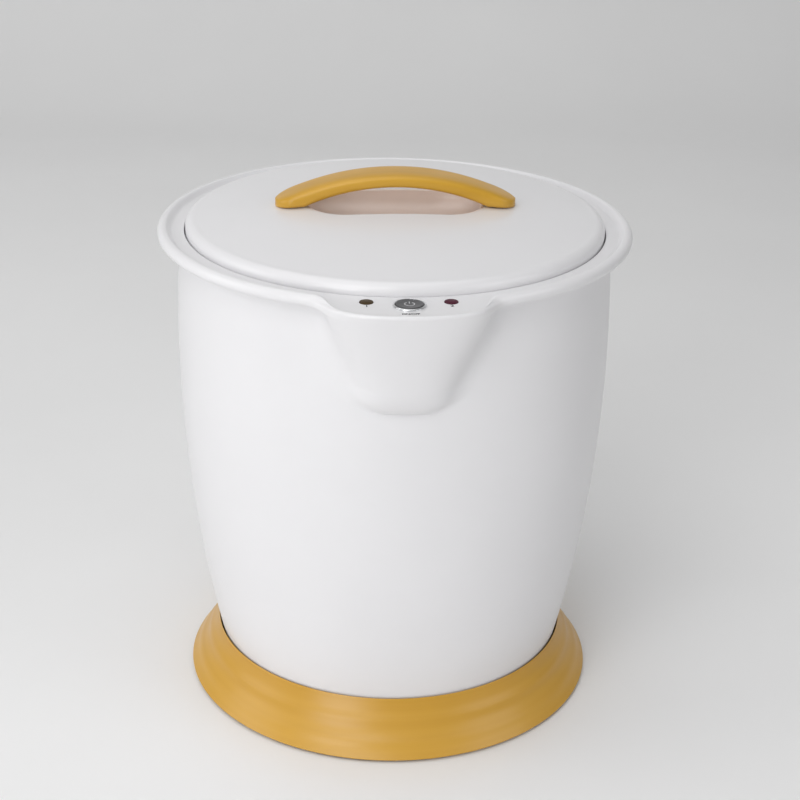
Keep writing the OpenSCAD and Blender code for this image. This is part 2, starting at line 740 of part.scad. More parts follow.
module signal_leds() {
    color("#E8D9A8") on_axis() for (side = [-1, 1]) translate([side * lens_x, -lens_y, board_top_z]) {
        cylinder(h = 0.2 * led_h, r = 1.2 * led_r);
        cylinder(h = led_h, r = led_r);
        translate([0, 0, led_h]) sphere(led_r);
    }
}

// signal lens with a chamfered face and a flange that seats under the panel
module lens(side) {
    on_axis() translate([side * lens_x, -lens_y, 0]) rotate_extrude() polygon([
        [0, panel_under_z - lens_flange_t], [lens_r + lens_flange_w, panel_under_z - lens_flange_t],
        [lens_r + lens_flange_w, panel_under_z], [lens_r - fit, panel_under_z],
        [lens_r - fit, band_z + 0.2], [lens_r - 0.5, band_z + 0.6], [0, band_z + 0.6]
    ]);
}

module lens_left() {
    color("#5B4F3B") lens(-1);
}

module lens_right() {
    color("#5C3444") lens(1);
}

// bright trim ring with a neck through the panel
module button_bezel() {
    color("#C7C9CC") on_axis() translate([0, -button_y, 0]) rotate_extrude() polygon([
        [bezel_in_r, bezel_neck_z], [bezel_neck_r, bezel_neck_z], [bezel_neck_r, band_z],
        [bezel_in_r + bezel_w, band_z], [bezel_in_r + bezel_w, band_z + 0.5 * bezel_h],
        [bezel_in_r + 0.6 * bezel_w, band_z + bezel_h], [bezel_in_r + 0.2, band_z + bezel_h],
        [bezel_in_r, band_z + bezel_h - 0.2]
    ]);
}

// hollow cap with a stop flange below the trim ring and a stem over the switch
module button_cap() {
    color("#6E6E71") on_axis() translate([0, -button_y, 0]) rotate_extrude() polygon([
        [0, stem_z], [2.5, stem_z], [2.5, cap_top_z - 2.5], [cap_r - 1.5, cap_top_z - 2.5],
        [cap_r - 1.5, cap_flange_z], [bezel_neck_r, cap_flange_z],
        [bezel_neck_r, cap_flange_z + cap_flange_t], [cap_r, cap_flange_z + cap_flange_t],
        [cap_r, cap_top_z - 0.5], [cap_r - 0.5, cap_top_z], [0, cap_top_z]
    ]);
}

module switch_plunger() {
    color("#1E1E20") on_axis() translate([0, -button_y, plunger_z]) cylinder(h = stem_z - plunger_z, r = plunger_r);
}

// the lid's outer form lowered by a drop, from the given bottom up to the dome
module lid_form(drop, inset, bottom) {
    r0 = lid_r - shoulder_w;
    rotate_extrude() polygon(concat(
        [[0, bottom], [lid_r - inset, bottom]],
        [for (i = [0:bend_steps]) let (a = 90 * i / bend_steps)
            [r0 + (shoulder_w - inset) * cos(a), shoulder_z - shoulder_h - drop + shoulder_h * sin(a)]],
        [for (i = [steps - 1:-1:0]) let (r = r0 * i / steps) [r, dome_z(r) - drop]]
    ));
}

// domed cover with a rounded shoulder, a skirt, four screw posts and the well's opening
module lid_cover() {
    color(white) on_axis() difference() {
        union() {
            difference() {
                lid_form(0, 0, skirt_z);
                lid_form(lid_t, lid_t, skirt_z - over);
            }
            at_lid_bosses() translate([0, 0, plug_z + plate_t])
                cylinder(h = dome_z(lid_boss_ring_r) - lid_t / 2 - plug_z - plate_t, r = lid_boss_r);
        }
        stadium(well_half_l + fit, well_half_w + fit, well_floor_z, crown_z + over);
        at_lid_bosses() translate([0, 0, plug_z + plate_t - over]) cylinder(h = lid_screw_l + over, r = screw_r + fit);
        for (side = [-1, 1]) translate([side * handle_screw_x, 0, well_floor_z])
            cylinder(h = 2 * well_depth, r = screw_r + play);
    }
}

// side outline of the bridge handle: an arc above, a flatter arc over the grip
module handle_side() {
    points = [for (i = [-steps:steps]) i / steps];
    polygon(concat(
        [for (u = points) let (x = handle_half_l * u)
            [x, handle_top_z - handle_arc + sqrt(handle_arc * handle_arc - x * x)]],
        [[handle_half_l, well_floor_z], [grip_half_l, well_floor_z]],
        [for (i = [steps:-1:-steps]) let (x = grip_half_l * i / steps)
            [x, grip_z - grip_arc + sqrt(grip_arc * grip_arc - x * x)]],
        [[-grip_half_l, well_floor_z], [-handle_half_l, well_floor_z]]
    ));
}

module handle_plan() {
    n = 2 * steps;
    xs = [for (i = [0:n]) -handle_half_l * cos(180 * i / n)];
    polygon(concat([for (x = xs) [x, -handle_w(x)]], [for (i = [n - 1:-1:1]) [xs[i], handle_w(xs[i])]]));
}

module lid_handle() {
    color(ochre) on_axis() difference() {
        intersection() {
            translate([0, handle_half_w + over, 0]) rotate([90, 0, 0])
                linear_extrude(2 * handle_half_w + 2 * over) handle_side();
            translate([0, 0, well_floor_z]) linear_extrude(handle_top_z - well_floor_z + over) handle_plan();
        }
        lid_form(-touch, 0, skirt_z);
        for (side = [-1, 1]) translate([side * handle_screw_x, 0, well_floor_z])
            cylinder(h = dome_z(handle_screw_x) - well_floor_z + 5.5, r = screw_r + fit);
    }
}

module handle_screws() {
    head_z = dome_z(handle_screw_x + screw_head_r) - lid_t;
    color(steel) on_axis() for (side = [-1, 1]) translate([side * handle_screw_x, 0, 0]) {
        translate([0, 0, head_z - screw_head_t]) cylinder(h = screw_head_t, r = screw_head_r);
        translate([0, 0, head_z]) cylinder(h = lid_t + 4.5, r = screw_r);
    }
}

// one round end of the well's bowl, fuller than a half ball
module bowl_half(r, depth) {
    rotate_extrude() polygon(concat([[0, 0]], [for (i = [0:2 * bend_steps]) let (a = 90 * i / (2 * bend_steps))
        [r * pow(cos(a), bowl_fullness), -depth * pow(sin(a), bowl_fullness)]]));
}

// the bowl: two round ends joined by a straight trough
module bowl(half_l, r, depth) {
    for (side = [-1, 1]) translate([side * (half_l - r), 0, 0]) bowl_half(r, depth);
    rotate([90, 0, 90]) translate([0, 0, r - half_l]) linear_extrude(2 * (half_l - r))
        polygon([for (i = [-2 * bend_steps:2 * bend_steps]) let (a = 90 * i / (2 * bend_steps))
            [r * sign(a) * pow(abs(sin(a)), bowl_fullness), -depth * pow(cos(a), bowl_fullness)]]);
}

// bowl with a flange that lies under the lid's cover
module finger_well() {
    edge_z = crown_z - well_edge_h;
    top = crown_z + over;
    color(sand) on_axis() difference() {
        union() {
            intersection() {
                union() {
                    stadium(well_half_l, well_half_w, edge_z - over, top);
                    translate([0, 0, edge_z]) bowl(well_half_l, well_half_w, well_depth + well_t - well_edge_h);
                }
                lid_form(fit, 0, skirt_z);
            }
            difference() {
                intersection() {
                    stadium(well_half_l + well_flange_w, well_half_w + well_flange_w, well_floor_z, top);
                    lid_form(lid_t + touch, lid_t + touch, skirt_z);
                }
                lid_form(lid_t + well_t, lid_t + touch, skirt_z - over);
            }
        }
        translate([0, 0, edge_z])
            bowl(well_half_l - well_t, well_half_w - well_t, well_depth - well_edge_h);
        stadium(well_half_l - well_t, well_half_w - well_t, edge_z - touch, top);
    }
}

// foam between the inner plate and the bowl
module lid_insulation() {
    r = plug_r - plate_t - 1;
    z0 = plug_z + plate_t;
    z1 = well_floor_z - well_t;
    color("#F0E9C8") on_axis() difference() {
        rotate_extrude() polygon([[0, z0], [r - plug_chamfer, z0], [r, z0 + plug_chamfer], [r, z1], [0, z1]]);
        at_lid_bosses() translate([0, 0, plug_z]) cylinder(h = crown_z - plug_z, r = lid_boss_r + play);
    }
}

// dished inner plate that plugs the pot's mouth
module lid_plate() {
    corner = plug_chamfer + plate_t / 2;
    color("#DDDDDF") on_axis() difference() {
        rotate_extrude() polygon([
            [0, plug_z], [plug_r - plug_chamfer, plug_z], [plug_r, plug_z + plug_chamfer], [plug_r, lid_flange_z],
            [lid_r - lid_t - play, lid_flange_z], [lid_r - lid_t - play, lid_flange_z + plate_t],
            [plug_r - plate_t, lid_flange_z + plate_t], [plug_r - plate_t, plug_z + corner],
            [plug_r - corner, plug_z + plate_t], [0, plug_z + plate_t]
        ]);
        at_lid_bosses() translate([0, 0, plug_z - over]) {
            cylinder(h = plate_t + 2 * over, r = screw_r + play);
            cylinder(h = over + screw_sunk, r = screw_head_r + play);
        }
    }
}

module lid_seal() {
    color("#BDBBB6") on_axis() ring(plug_r + 3, lid_r - lid_t - 2, seal_z, lid_flange_z);
}

module lid_screws() {
    color(steel) on_axis() at_lid_bosses() {
        translate([0, 0, plug_z - screw_head_t + screw_sunk]) cylinder(h = screw_head_t, r = screw_head_r);
        translate([0, 0, plug_z + screw_sunk]) cylinder(h = lid_screw_l, r = screw_r);
    }
}

outer_shell();
base_ring();
base_plate();
rubber_feet();
base_screws();
cord_gland();
inner_pot();
pot_gasket();
heating_wrap();
insulation_wrap();
floor_heater();
insulation_disc();
support_posts();
thermostat();
thermal_fuse();
terminal_block();
board_lead();
control_board();
board_screws();
push_switch();
signal_leds();
lens_left();
lens_right();
button_bezel();
button_cap();
switch_plunger();
lid_cover();
lid_handle();
finger_well();
handle_screws();
lid_insulation();
lid_plate();
lid_seal();
lid_screws();
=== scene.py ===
# Towel warmer bucket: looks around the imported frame. Lengths are in millimetres until a mesh is made.
import bmesh
import bpy
import numpy as np
from mathutils import Matrix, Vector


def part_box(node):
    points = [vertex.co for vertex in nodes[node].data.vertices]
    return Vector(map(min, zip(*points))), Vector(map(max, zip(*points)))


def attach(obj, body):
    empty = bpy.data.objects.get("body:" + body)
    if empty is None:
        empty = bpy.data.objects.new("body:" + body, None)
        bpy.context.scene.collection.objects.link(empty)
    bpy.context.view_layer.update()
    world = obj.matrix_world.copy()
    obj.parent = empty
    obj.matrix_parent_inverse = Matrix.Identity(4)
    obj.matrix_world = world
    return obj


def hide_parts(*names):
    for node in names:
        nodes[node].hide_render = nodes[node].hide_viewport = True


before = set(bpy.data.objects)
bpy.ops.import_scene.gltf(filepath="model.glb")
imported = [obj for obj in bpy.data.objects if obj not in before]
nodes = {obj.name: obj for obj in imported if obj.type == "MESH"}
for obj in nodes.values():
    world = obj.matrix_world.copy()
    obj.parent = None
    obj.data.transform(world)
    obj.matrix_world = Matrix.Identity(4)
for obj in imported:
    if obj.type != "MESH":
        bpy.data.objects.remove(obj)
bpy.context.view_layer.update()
print("frame loaded,", len(nodes), "nodes")


# lowest and highest corner of a node in millimetres
def boxMm(node):
    low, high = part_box(node)
    return np.array(low) * 1000, np.array(high) * 1000


potLow, potHigh = boxMm("inner_pot")
shellHigh = boxMm("outer_shell")[1]
axisY = round((potLow[1] + potHigh[1]) / 2, 1)      # the bucket's own axis lies behind the origin
rimR = round(shellHigh[1] - axisY, 1)
rimZ = round(shellHigh[2], 1)

# place and turn were fitted to the outlines of rim, body and base
cameraSet = dict(place=(-66.35, -1116.8, 692.7), pitchDown=0.4111, yaw=0.0642, roll=0.0185,
                 focalPx=1723.5, framePx=800, sensor=36.0)


# a camera that looks along +Y, turned by yaw to +X, pitched down, then rolled about its own axis
def addCamera(s):
    cp, sp = np.cos(s["pitchDown"]), np.sin(s["pitchDown"])
    cy, sy = np.cos(s["yaw"]), np.sin(s["yaw"])
    forward = np.array([sy * cp, cy * cp, -sp])
    side = np.array([cy, -sy, 0.0])
    up = np.cross(side, forward)
    cr, sr = np.cos(s["roll"]), np.sin(s["roll"])
    right, top = cr * side + sr * up, cr * up - sr * side
    data = bpy.data.cameras.new("camera")
    data.sensor_width = s["sensor"]
    data.lens = s["sensor"] * s["focalPx"] / s["framePx"]
    camera = bpy.data.objects.new("camera", data)
    place = np.array(s["place"]) + np.array([0, axisY, 0])
    columns = np.stack([right, top, -forward, place / 1000], 1)
    camera.matrix_world = Matrix([list(row) for row in columns] + [[0, 0, 0, 1]])
    bpy.context.scene.collection.objects.link(camera)
    bpy.context.scene.camera = camera


addCamera(cameraSet)
print("camera placed")


# corner numbers of the quads of a rows by cols grid, joined round where it wraps
def gridFaces(rows, cols, wrapRows, wrapCols):
    i = np.arange(rows if wrapRows else rows - 1)
    j = np.arange(cols if wrapCols else cols - 1)
    a, b = np.meshgrid(i, j, indexing="ij")
    a, b = a.ravel(), b.ravel()
    a1, b1 = (a + 1) % rows, (b + 1) % cols
    return np.stack([a * cols + b, a * cols + b1, a1 * cols + b1, a1 * cols + b], 1)


# a mesh from whole arrays, its faces turned outwards by the sign of the volume that they enclose
def meshFromArrays(name, points, quads, tris=None):
    tris = np.zeros((0, 3), int) if tris is None else tris
    p = points - points.mean(0)
    v = np.einsum("ij,ij->i", p[quads[:, 0]], np.cross(p[quads[:, 1]], p[quads[:, 2]])).sum()
    v += np.einsum("ij,ij->i", p[quads[:, 0]], np.cross(p[quads[:, 2]], p[quads[:, 3]])).sum()
    if len(tris):
        v += np.einsum("ij,ij->i", p[tris[:, 0]], np.cross(p[tris[:, 1]], p[tris[:, 2]])).sum()
    if v < 0:
        quads, tris = quads[:, ::-1], tris[:, ::-1]
    mesh = bpy.data.meshes.new(name)
    loops = np.concatenate([quads.ravel(), tris.ravel()]).astype(np.int32)
    starts = np.concatenate([np.arange(len(quads)) * 4, len(quads) * 4 + np.arange(len(tris)) * 3])
    mesh.vertices.add(len(points))
    mesh.vertices.foreach_set("co", (points / 1000).astype(np.float32).ravel())
    mesh.loops.add(len(loops))
    mesh.loops.foreach_set("vertex_index", loops)
    mesh.polygons.add(len(starts))
    mesh.polygons.foreach_set("loop_start", starts.astype(np.int32))
    mesh.update(calc_edges=True)
    mesh.validate()
    return mesh


# a finished piece: smooth with sharp edges by angle, riding on a body and standing for its node
def addObject(name, mesh, body, material, replaced=(), sharp=38):
    mesh.shade_smooth()
    mesh.set_sharp_from_angle(angle=np.radians(sharp))
    obj = bpy.data.objects.new(name, mesh)
    bpy.context.scene.collection.objects.link(obj)
    mesh.materials.clear()
    mesh.materials.append(material)
    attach(obj, body)
    if replaced:
        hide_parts(*replaced)
    return obj


# closed ring: radius and height are rows by angles, and the rows form a closed loop round the wall
def ringMesh(name, radius, height, angles):
    x = radius * np.sin(angles)
    y = axisY - radius * np.cos(angles)
    p = np.stack([x, y, height * np.ones_like(x)], -1)
    return meshFromArrays(name, p.reshape(-1, 3), gridFaces(*radius.shape, True, True))


# closed skin of rows of points, with one more point that closes each end
def cappedMesh(name, points, first, last):
    rows, count = points.shape[:2]
    p = np.concatenate([points.reshape(-1, 3), [first, last]])
    j = np.arange(count)
    end = (rows - 1) * count
    tris = np.concatenate([np.stack([np.full(count, len(p) - 2), j, (j + 1) % count], 1),
                           np.stack([np.full(count, len(p) - 1), end + (j + 1) % count, end + j], 1)])
    return meshFromArrays(name, p, gridFaces(rows, count, False, True)[:, ::-1], tris)


# an arc of n points: its centre plus r times the cosine and the sine of even steps of angle, in degrees
def arcPoints(cx, cz, r, a0, a1, n):
    a = np.radians(np.linspace(a0, a1, n))
    return cx + r * np.cos(a), cz + r * np.sin(a)


# a profile whose corners are rounded: each corner is cut back by r times the tangent of half its turn
def roundedProfile(points, radii, steps=5, closed=False):
    p = np.array(points, float)
    out = []
    for i, r in enumerate(radii):
        if r == 0 or (not closed and i in (0, len(p) - 1)):
            out.append(p[i][None])
            continue
        a = p[i - 1] - p[i]
        b = p[(i + 1) % len(p)] - p[i]
        a, b = a / np.linalg.norm(a), b / np.linalg.norm(b)
        half = np.arccos(np.clip(a @ b, -1, 1)) / 2
        cut = r / np.tan(half)
        middle = p[i] + (a + b) / np.linalg.norm(a + b) * r / np.sin(half)
        u, w = p[i] + a * cut - middle, p[i] + b * cut - middle
        t = np.linspace(0, 1, steps + 1)[:, None]
        arc = u * (1 - t) + w * t
        out.append(middle + arc / np.linalg.norm(arc, axis=1)[:, None] * r)
    return np.concatenate(out).T


# a turned piece: the profile carried round a centre, closed on itself or ending on the axis at both ends
def turnedMesh(name, profile, centre=(0, 0), count=96, closed=False):
    r, z = profile
    th = np.linspace(0, 2 * np.pi, count + 1)[:-1]
    cx, cy = centre[0], centre[1] + axisY
    if closed:
        x, y = cx + r[:, None] * np.cos(th), cy + r[:, None] * np.sin(th)
        p = np.stack([x, y, z[:, None] * np.ones_like(x)], -1)
        return meshFromArrays(name, p.reshape(-1, 3), gridFaces(len(r), count, True, True))
    x, y = cx + r[1:-1, None] * np.cos(th), cy + r[1:-1, None] * np.sin(th)
    p = np.stack([x, y, z[1:-1, None] * np.ones_like(x)], -1)
    return cappedMesh(name, p, [cx, cy, z[0]], [cx, cy, z[-1]])


# the mesh less the given cutters, by Blender's exact boolean
def cutMesh(mesh, cutters):
    obj = bpy.data.objects.new("cut_stock", mesh)
    bpy.context.scene.collection.objects.link(obj)
    tools = []
    for cutter in cutters:
        tool = bpy.data.objects.new("cutter", cutter)
        bpy.context.scene.collection.objects.link(tool)
        mod = obj.modifiers.new("cut", "BOOLEAN")
        mod.operation, mod.solver, mod.object = "DIFFERENCE", "EXACT", tool
        tools.append(tool)
    done = bpy.data.meshes.new_from_object(obj.evaluated_get(bpy.context.evaluated_depsgraph_get()))
    for piece in tools + [obj]:
        bpy.data.objects.remove(piece)
    return done


# a pattern's coordinates in metres about the bucket's axis, stretched; "turned" gives radius and height alone
def patternSpace(tree, stretch, turned, centre):
    space = tree.nodes.new("ShaderNodeTexCoord")
    place = tree.nodes.new("ShaderNodeMapping")
    place.inputs["Location"].default_value = (-centre[0] / 1000, -(centre[1] + axisY) / 1000, 0)
    tree.links.new(space.outputs["Object"], place.inputs["Vector"])
    out = place.outputs["Vector"]
    if turned:
        split = tree.nodes.new("ShaderNodeSeparateXYZ")
        flat = tree.nodes.new("ShaderNodeCombineXYZ")
        length = tree.nodes.new("ShaderNodeVectorMath")
        length.operation = "LENGTH"
        join = tree.nodes.new("ShaderNodeCombineXYZ")
        tree.links.new(out, split.inputs[0])
        tree.links.new(split.outputs[0], flat.inputs[0])
        tree.links.new(split.outputs[1], flat.inputs[1])
        tree.links.new(flat.outputs[0], length.inputs[0])
        tree.links.new(length.outputs["Value"], join.inputs[0])
        tree.links.new(split.outputs[2], join.inputs[2])
        out = join.outputs[0]
    scale = tree.nodes.new("ShaderNodeVectorMath")
    scale.operation = "MULTIPLY"
    scale.inputs[1].default_value = stretch
    tree.links.new(out, scale.inputs[0])
    return scale.outputs[0]


# cloudy pattern, its scale in waves per metre
def patternNoise(tree, layer, centre):
    noise = tree.nodes.new("ShaderNodeTexNoise")
    noise.inputs["Scale"].default_value = layer["scale"]
    noise.inputs["Detail"].default_value = layer.get("detail", 2)
    noise.inputs["Roughness"].default_value = layer.get("harsh", 0.5)
    tree.links.new(patternSpace(tree, layer.get("stretch", (1, 1, 1)), layer.get("turned", False), centre),
                   noise.inputs["Vector"])
    return noise.outputs["Fac"]


# beaded pattern: the distance to the middle of the nearest cell
def patternCells(tree, layer, centre):
    cells = tree.nodes.new("ShaderNodeTexVoronoi")
    cells.inputs["Scale"].default_value = layer["scale"]
    tree.links.new(patternSpace(tree, layer.get("stretch", (1, 1, 1)), layer.get("turned", False), centre),
                   cells.inputs["Vector"])
    return cells.outputs["Distance"]


# the middle half of a pattern's values, 0.25 to 0.75, spread over a range
def spread(tree, value, low, high):
    span = tree.nodes.new("ShaderNodeMapRange")
    for socket, number in zip(("From Min", "From Max", "To Min", "To Max"), (0.25, 0.75, low, high)):
        span.inputs[socket].default_value = number
    tree.links.new(value, span.inputs["Value"])
    return span.outputs["Result"]


# a finish: two tones that drift on one pattern, gloss that drifts on another, and layers of relief in metres
def makeFinish(name, s):
    material = bpy.data.materials.new(name)
    material.use_nodes = True
    tree = material.node_tree
    shader = tree.nodes["Principled BSDF"]
    centre = s.get("centre", (0, 0))
    for socket, value in s.get("fixed", {}).items():
        shader.inputs[socket].default_value = value
    blend = tree.nodes.new("ShaderNodeMix")
    blend.data_type = "RGBA"
    blend.inputs["A"].default_value = (*s["tones"][0], 1)
    blend.inputs["B"].default_value = (*s["tones"][1], 1)
    tree.links.new(spread(tree, patternNoise(tree, s["drift"], centre), 0, 1), blend.inputs["Factor"])
    tree.links.new(blend.outputs["Result"], shader.inputs["Base Color"])
    gloss = patternNoise(tree, s.get("glossDrift", dict(scale=40)), centre)
    tree.links.new(spread(tree, gloss, *s["rough"]), shader.inputs["Roughness"])
    normal = None
    for layer in s["relief"]:
        maker = patternCells if layer.get("cells") else patternNoise
        bump = tree.nodes.new("ShaderNodeBump")
        bump.inputs["Strength"].default_value = 1
        bump.inputs["Distance"].default_value = layer["depth"]
        tree.links.new(maker(tree, layer, centre), bump.inputs["Height"])
        if normal:
            tree.links.new(normal, bump.inputs["Normal"])
        normal = bump.outputs["Normal"]
    tree.links.new(normal, shader.inputs["Normal"])
    return material


# Tones are linear, and depths of relief are in metres. No roughness passes through 0.27 on a piece that shows,
# because the denoiser leaves small marks along that value.
finishes = dict(
    whiteShell=dict(
        tones=((0.778, 0.773, 0.788), (0.803, 0.798, 0.813)), drift=dict(scale=11, detail=3),
        rough=(0.285, 0.37), glossDrift=dict(scale=26, detail=4),
        relief=[dict(scale=38, depth=3.2e-5), dict(scale=1500, depth=3e-6)],
        fixed={"Coat Weight": 0.2, "Coat Roughness": 0.12}),
    ochreBase=dict(
        tones=((0.545, 0.288, 0.033), (0.645, 0.362, 0.054)), drift=dict(scale=60, detail=4, turned=True),
        rough=(0.285, 0.36), glossDrift=dict(scale=34, detail=4),
        relief=[dict(scale=170, depth=1.6e-5, turned=True), dict(scale=1300, depth=5e-6)]),
    ochreHandle=dict(
        tones=((0.55, 0.295, 0.022), (0.64, 0.36, 0.040)),
        drift=dict(scale=90, detail=4, stretch=(0.10, 1, 1)), rough=(0.285, 0.38),
        relief=[dict(scale=260, depth=1.2e-5, stretch=(0.06, 1, 1)), dict(scale=1400, depth=4e-6)]),
    # the well insert's sand colour, made much paler than its own colour: painted light that brightens the recess
    # shaded by the handle
    sandWellPaintedLight=dict(
        tones=((0.85, 0.745, 0.70), (0.90, 0.795, 0.75)), drift=dict(scale=50, detail=3), rough=(0.285, 0.37),
        relief=[dict(scale=120, depth=1.2e-5), dict(scale=1500, depth=3e-6)]),
    capGrey=dict(
        tones=((0.080, 0.080, 0.085), (0.125, 0.125, 0.130)),
        drift=dict(scale=1800, detail=3, stretch=(0.12, 1, 1)), rough=(0.285, 0.42),
        relief=[dict(scale=2600, depth=4e-6, stretch=(0.08, 1, 1))], fixed={"Metallic": 0.55}),
    markPale=dict(
        tones=((0.46, 0.46, 0.47), (0.58, 0.58, 0.59)), drift=dict(scale=900), rough=(0.28, 0.40),
        relief=[dict(scale=2500, depth=2e-6)]),
    printDark=dict(
        tones=((0.014, 0.014, 0.016), (0.035, 0.035, 0.038)), drift=dict(scale=2500, detail=3),
        rough=(0.45, 0.6), relief=[dict(scale=4000, depth=2e-6)]),
    chromeBezel=dict(
        tones=((0.72, 0.73, 0.745), (0.80, 0.81, 0.82)), drift=dict(scale=500), rough=(0.10, 0.2),
        relief=[dict(scale=1100, depth=2e-6)], fixed={"Metallic": 1.0}),
    amberLens=dict(
        tones=((0.036, 0.019, 0.002), (0.068, 0.038, 0.006)), drift=dict(scale=420, detail=1),
        rough=(0.285, 0.36), relief=[dict(scale=700, depth=1.5e-5, cells=True)],
        fixed={"IOR": 1.3, "Specular IOR Level": 0.15}),
    wineLens=dict(
        tones=((0.050, 0.002, 0.012), (0.092, 0.005, 0.028)), drift=dict(scale=420, detail=1),
        rough=(0.285, 0.36), relief=[dict(scale=700, depth=1.5e-5, cells=True)],
        fixed={"IOR": 1.3, "Specular IOR Level": 0.15}),
    spunPot=dict(
        tones=((0.60, 0.61, 0.63), (0.72, 0.73, 0.75)), drift=dict(scale=420, detail=5, turned=True),
        rough=(0.285, 0.40), glossDrift=dict(scale=30, detail=3),
        relief=[dict(scale=900, depth=7e-6, turned=True), dict(scale=55, depth=2e-5)],
        fixed={"Metallic": 1.0}),
    plainSteel=dict(
        tones=((0.46, 0.47, 0.48), (0.58, 0.59, 0.60)), drift=dict(scale=300, detail=4), rough=(0.285, 0.42),
        relief=[dict(scale=1500, depth=6e-6, stretch=(0.1, 1, 1))], fixed={"Metallic": 1.0}),
    greyBottom=dict(
        tones=((0.52, 0.52, 0.53), (0.60, 0.60, 0.61)), drift=dict(scale=25, detail=4), rough=(0.46, 0.6),
        relief=[dict(scale=1100, depth=2.2e-5, detail=4)]),
    platePale=dict(
        tones=((0.68, 0.68, 0.69), (0.745, 0.745, 0.755)), drift=dict(scale=16, detail=3), rough=(0.36, 0.48),
        relief=[dict(scale=1100, depth=1.2e-5, detail=3)]),
    blackRubber=dict(
        tones=((0.014, 0.014, 0.016), (0.026, 0.026, 0.029)), drift=dict(scale=140, detail=4),
        rough=(0.6, 0.8), relief=[dict(scale=900, depth=3e-5, detail=4)]),
    blackPlastic=dict(
        tones=((0.010, 0.010, 0.011), (0.020, 0.020, 0.022)), drift=dict(scale=200), rough=(0.35, 0.5),
        relief=[dict(scale=1600, depth=1.2e-5, detail=3)]),
    paleSilicone=dict(
        tones=((0.50, 0.49, 0.46), (0.58, 0.57, 0.54)), drift=dict(scale=80, detail=3), rough=(0.45, 0.6),
        relief=[dict(scale=700, depth=1e-5, detail=3)], fixed={"Subsurface Weight": 0.08}),
    heaterMat=dict(
        tones=((0.30, 0.075, 0.028), (0.39, 0.11, 0.042)), drift=dict(scale=120, detail=3), rough=(0.5, 0.65),
        relief=[dict(scale=330, depth=1.5e-4, cells=True)]),
    fleece=dict(
        tones=((0.62, 0.60, 0.54), (0.78, 0.76, 0.70)), drift=dict(scale=450, detail=6, harsh=0.7),
        rough=(0.85, 0.97), relief=[dict(scale=600, depth=4e-4, detail=7, harsh=0.75)],
        fixed={"Sheen Weight": 0.4}),
    lidFoam=dict(
        tones=((0.74, 0.66, 0.44), (0.84, 0.77, 0.56)), drift=dict(scale=160, detail=4), rough=(0.8, 0.92),
        relief=[dict(scale=650, depth=2e-4, cells=True)]),
    fuseCeramic=dict(
        tones=((0.60, 0.56, 0.45), (0.70, 0.66, 0.55)), drift=dict(scale=500, detail=4), rough=(0.5, 0.7),
        relief=[dict(scale=1400, depth=1.4e-5, detail=4)]),
    ivoryBlock=dict(
        tones=((0.68, 0.64, 0.52), (0.76, 0.72, 0.61)), drift=dict(scale=90, detail=3), rough=(0.38, 0.5),
        relief=[dict(scale=1200, depth=1.2e-5, detail=3)]),
    redLead=dict(
        tones=((0.16, 0.022, 0.012), (0.23, 0.035, 0.02)), drift=dict(scale=160, detail=3), rough=(0.42, 0.58),
        relief=[dict(scale=900, depth=1.2e-5)]),
    greenBoard=dict(
        tones=((0.008, 0.075, 0.026), (0.016, 0.125, 0.046)),
        drift=dict(scale=600, detail=1, stretch=(1, 0.2, 1)), rough=(0.28, 0.4),
        relief=[dict(scale=700, depth=2.5e-5, cells=True)], fixed={"Coat Weight": 0.4}),
    ledResin=dict(
        tones=((0.66, 0.60, 0.38), (0.76, 0.71, 0.50)), drift=dict(scale=400), rough=(0.1, 0.2),
        relief=[dict(scale=900, depth=6e-6)], fixed={"Transmission Weight": 0.5, "IOR": 1.52}),
)
paint = {name: makeFinish(name, s) for name, s in finishes.items()}
nodePaint = dict(
    base_plate="greyBottom", support_posts="greyBottom", rubber_feet="blackRubber", cord_gland="blackRubber",
    base_screws="plainSteel", board_screws="plainSteel", handle_screws="plainSteel", lid_screws="plainSteel",
    pot_gasket="paleSilicone", lid_seal="paleSilicone", heating_wrap="heaterMat", floor_heater="heaterMat",
    insulation_wrap="fleece", insulation_disc="fleece", lid_insulation="lidFoam", lid_plate="platePale",
    thermostat="blackPlastic", push_switch="blackPlastic", switch_plunger="blackPlastic",
    thermal_fuse="fuseCeramic", terminal_block="ivoryBlock", board_lead="redLead",
    control_board="greenBoard", signal_leds="ledResin")
for node, finish in nodePaint.items():
    for materialSlot in nodes[node].material_slots:
        materialSlot.material = paint[finish]
print("finishes made:", len(paint))


shellSet = dict(barrelR=148.3, barrelZ=255.0, barrelCurve=1000.0, bottomZ=10.0, wall=2.6,
                lipR=4.2, coveR=9.0, beadWidth=5.5, beadIn=1.0, bandDrop=3.5, seatR=142.2, seatEdge=0.5,
                seatDepth=8.5, seatRow=4.0, seatWall=2.0, ledgeR=131.2, ledgeRow=7.0, rowChangeZ=250,
                slack=0.1, drillBelow=6, drillAbove=3)
noseSet = dict(reach=178.5, topHalf=52.5, midHalf=52.0, footHalf=24.0, centreY=145.0, power=2.4, height=75.6,
               midShare=0.93, slantPower=1.12, crestDrop=2.9, crestIn=0.3, crestTurn=(14.5, 21.5),
               cavityTurn=(13.0, 17.5), edgeRound=2.4, panelEdge=3.2, footReach=153.0, footRound=18.0,
               panelT=2.5, fillet=19.0, topFillet=8.0, filletDrop=10, searchR=(188, 120, 273))
controlSet = dict(buttonY=-157.0, capR=8.5, lensX=25.5, lensY=-150.6, lensR=4.4, bezelHole=9.6, lensHole=4.4)
bandZ = rimZ - shellSet["bandDrop"]
seatZ = bandZ - shellSet["seatDepth"]


# barrel wall: a shallow arc of one large radius about its widest height
def wallR(z, s=shellSet):
    return s["barrelR"] - s["barrelCurve"] + np.sqrt(s["barrelCurve"] ** 2 - (z - s["barrelZ"]) ** 2)


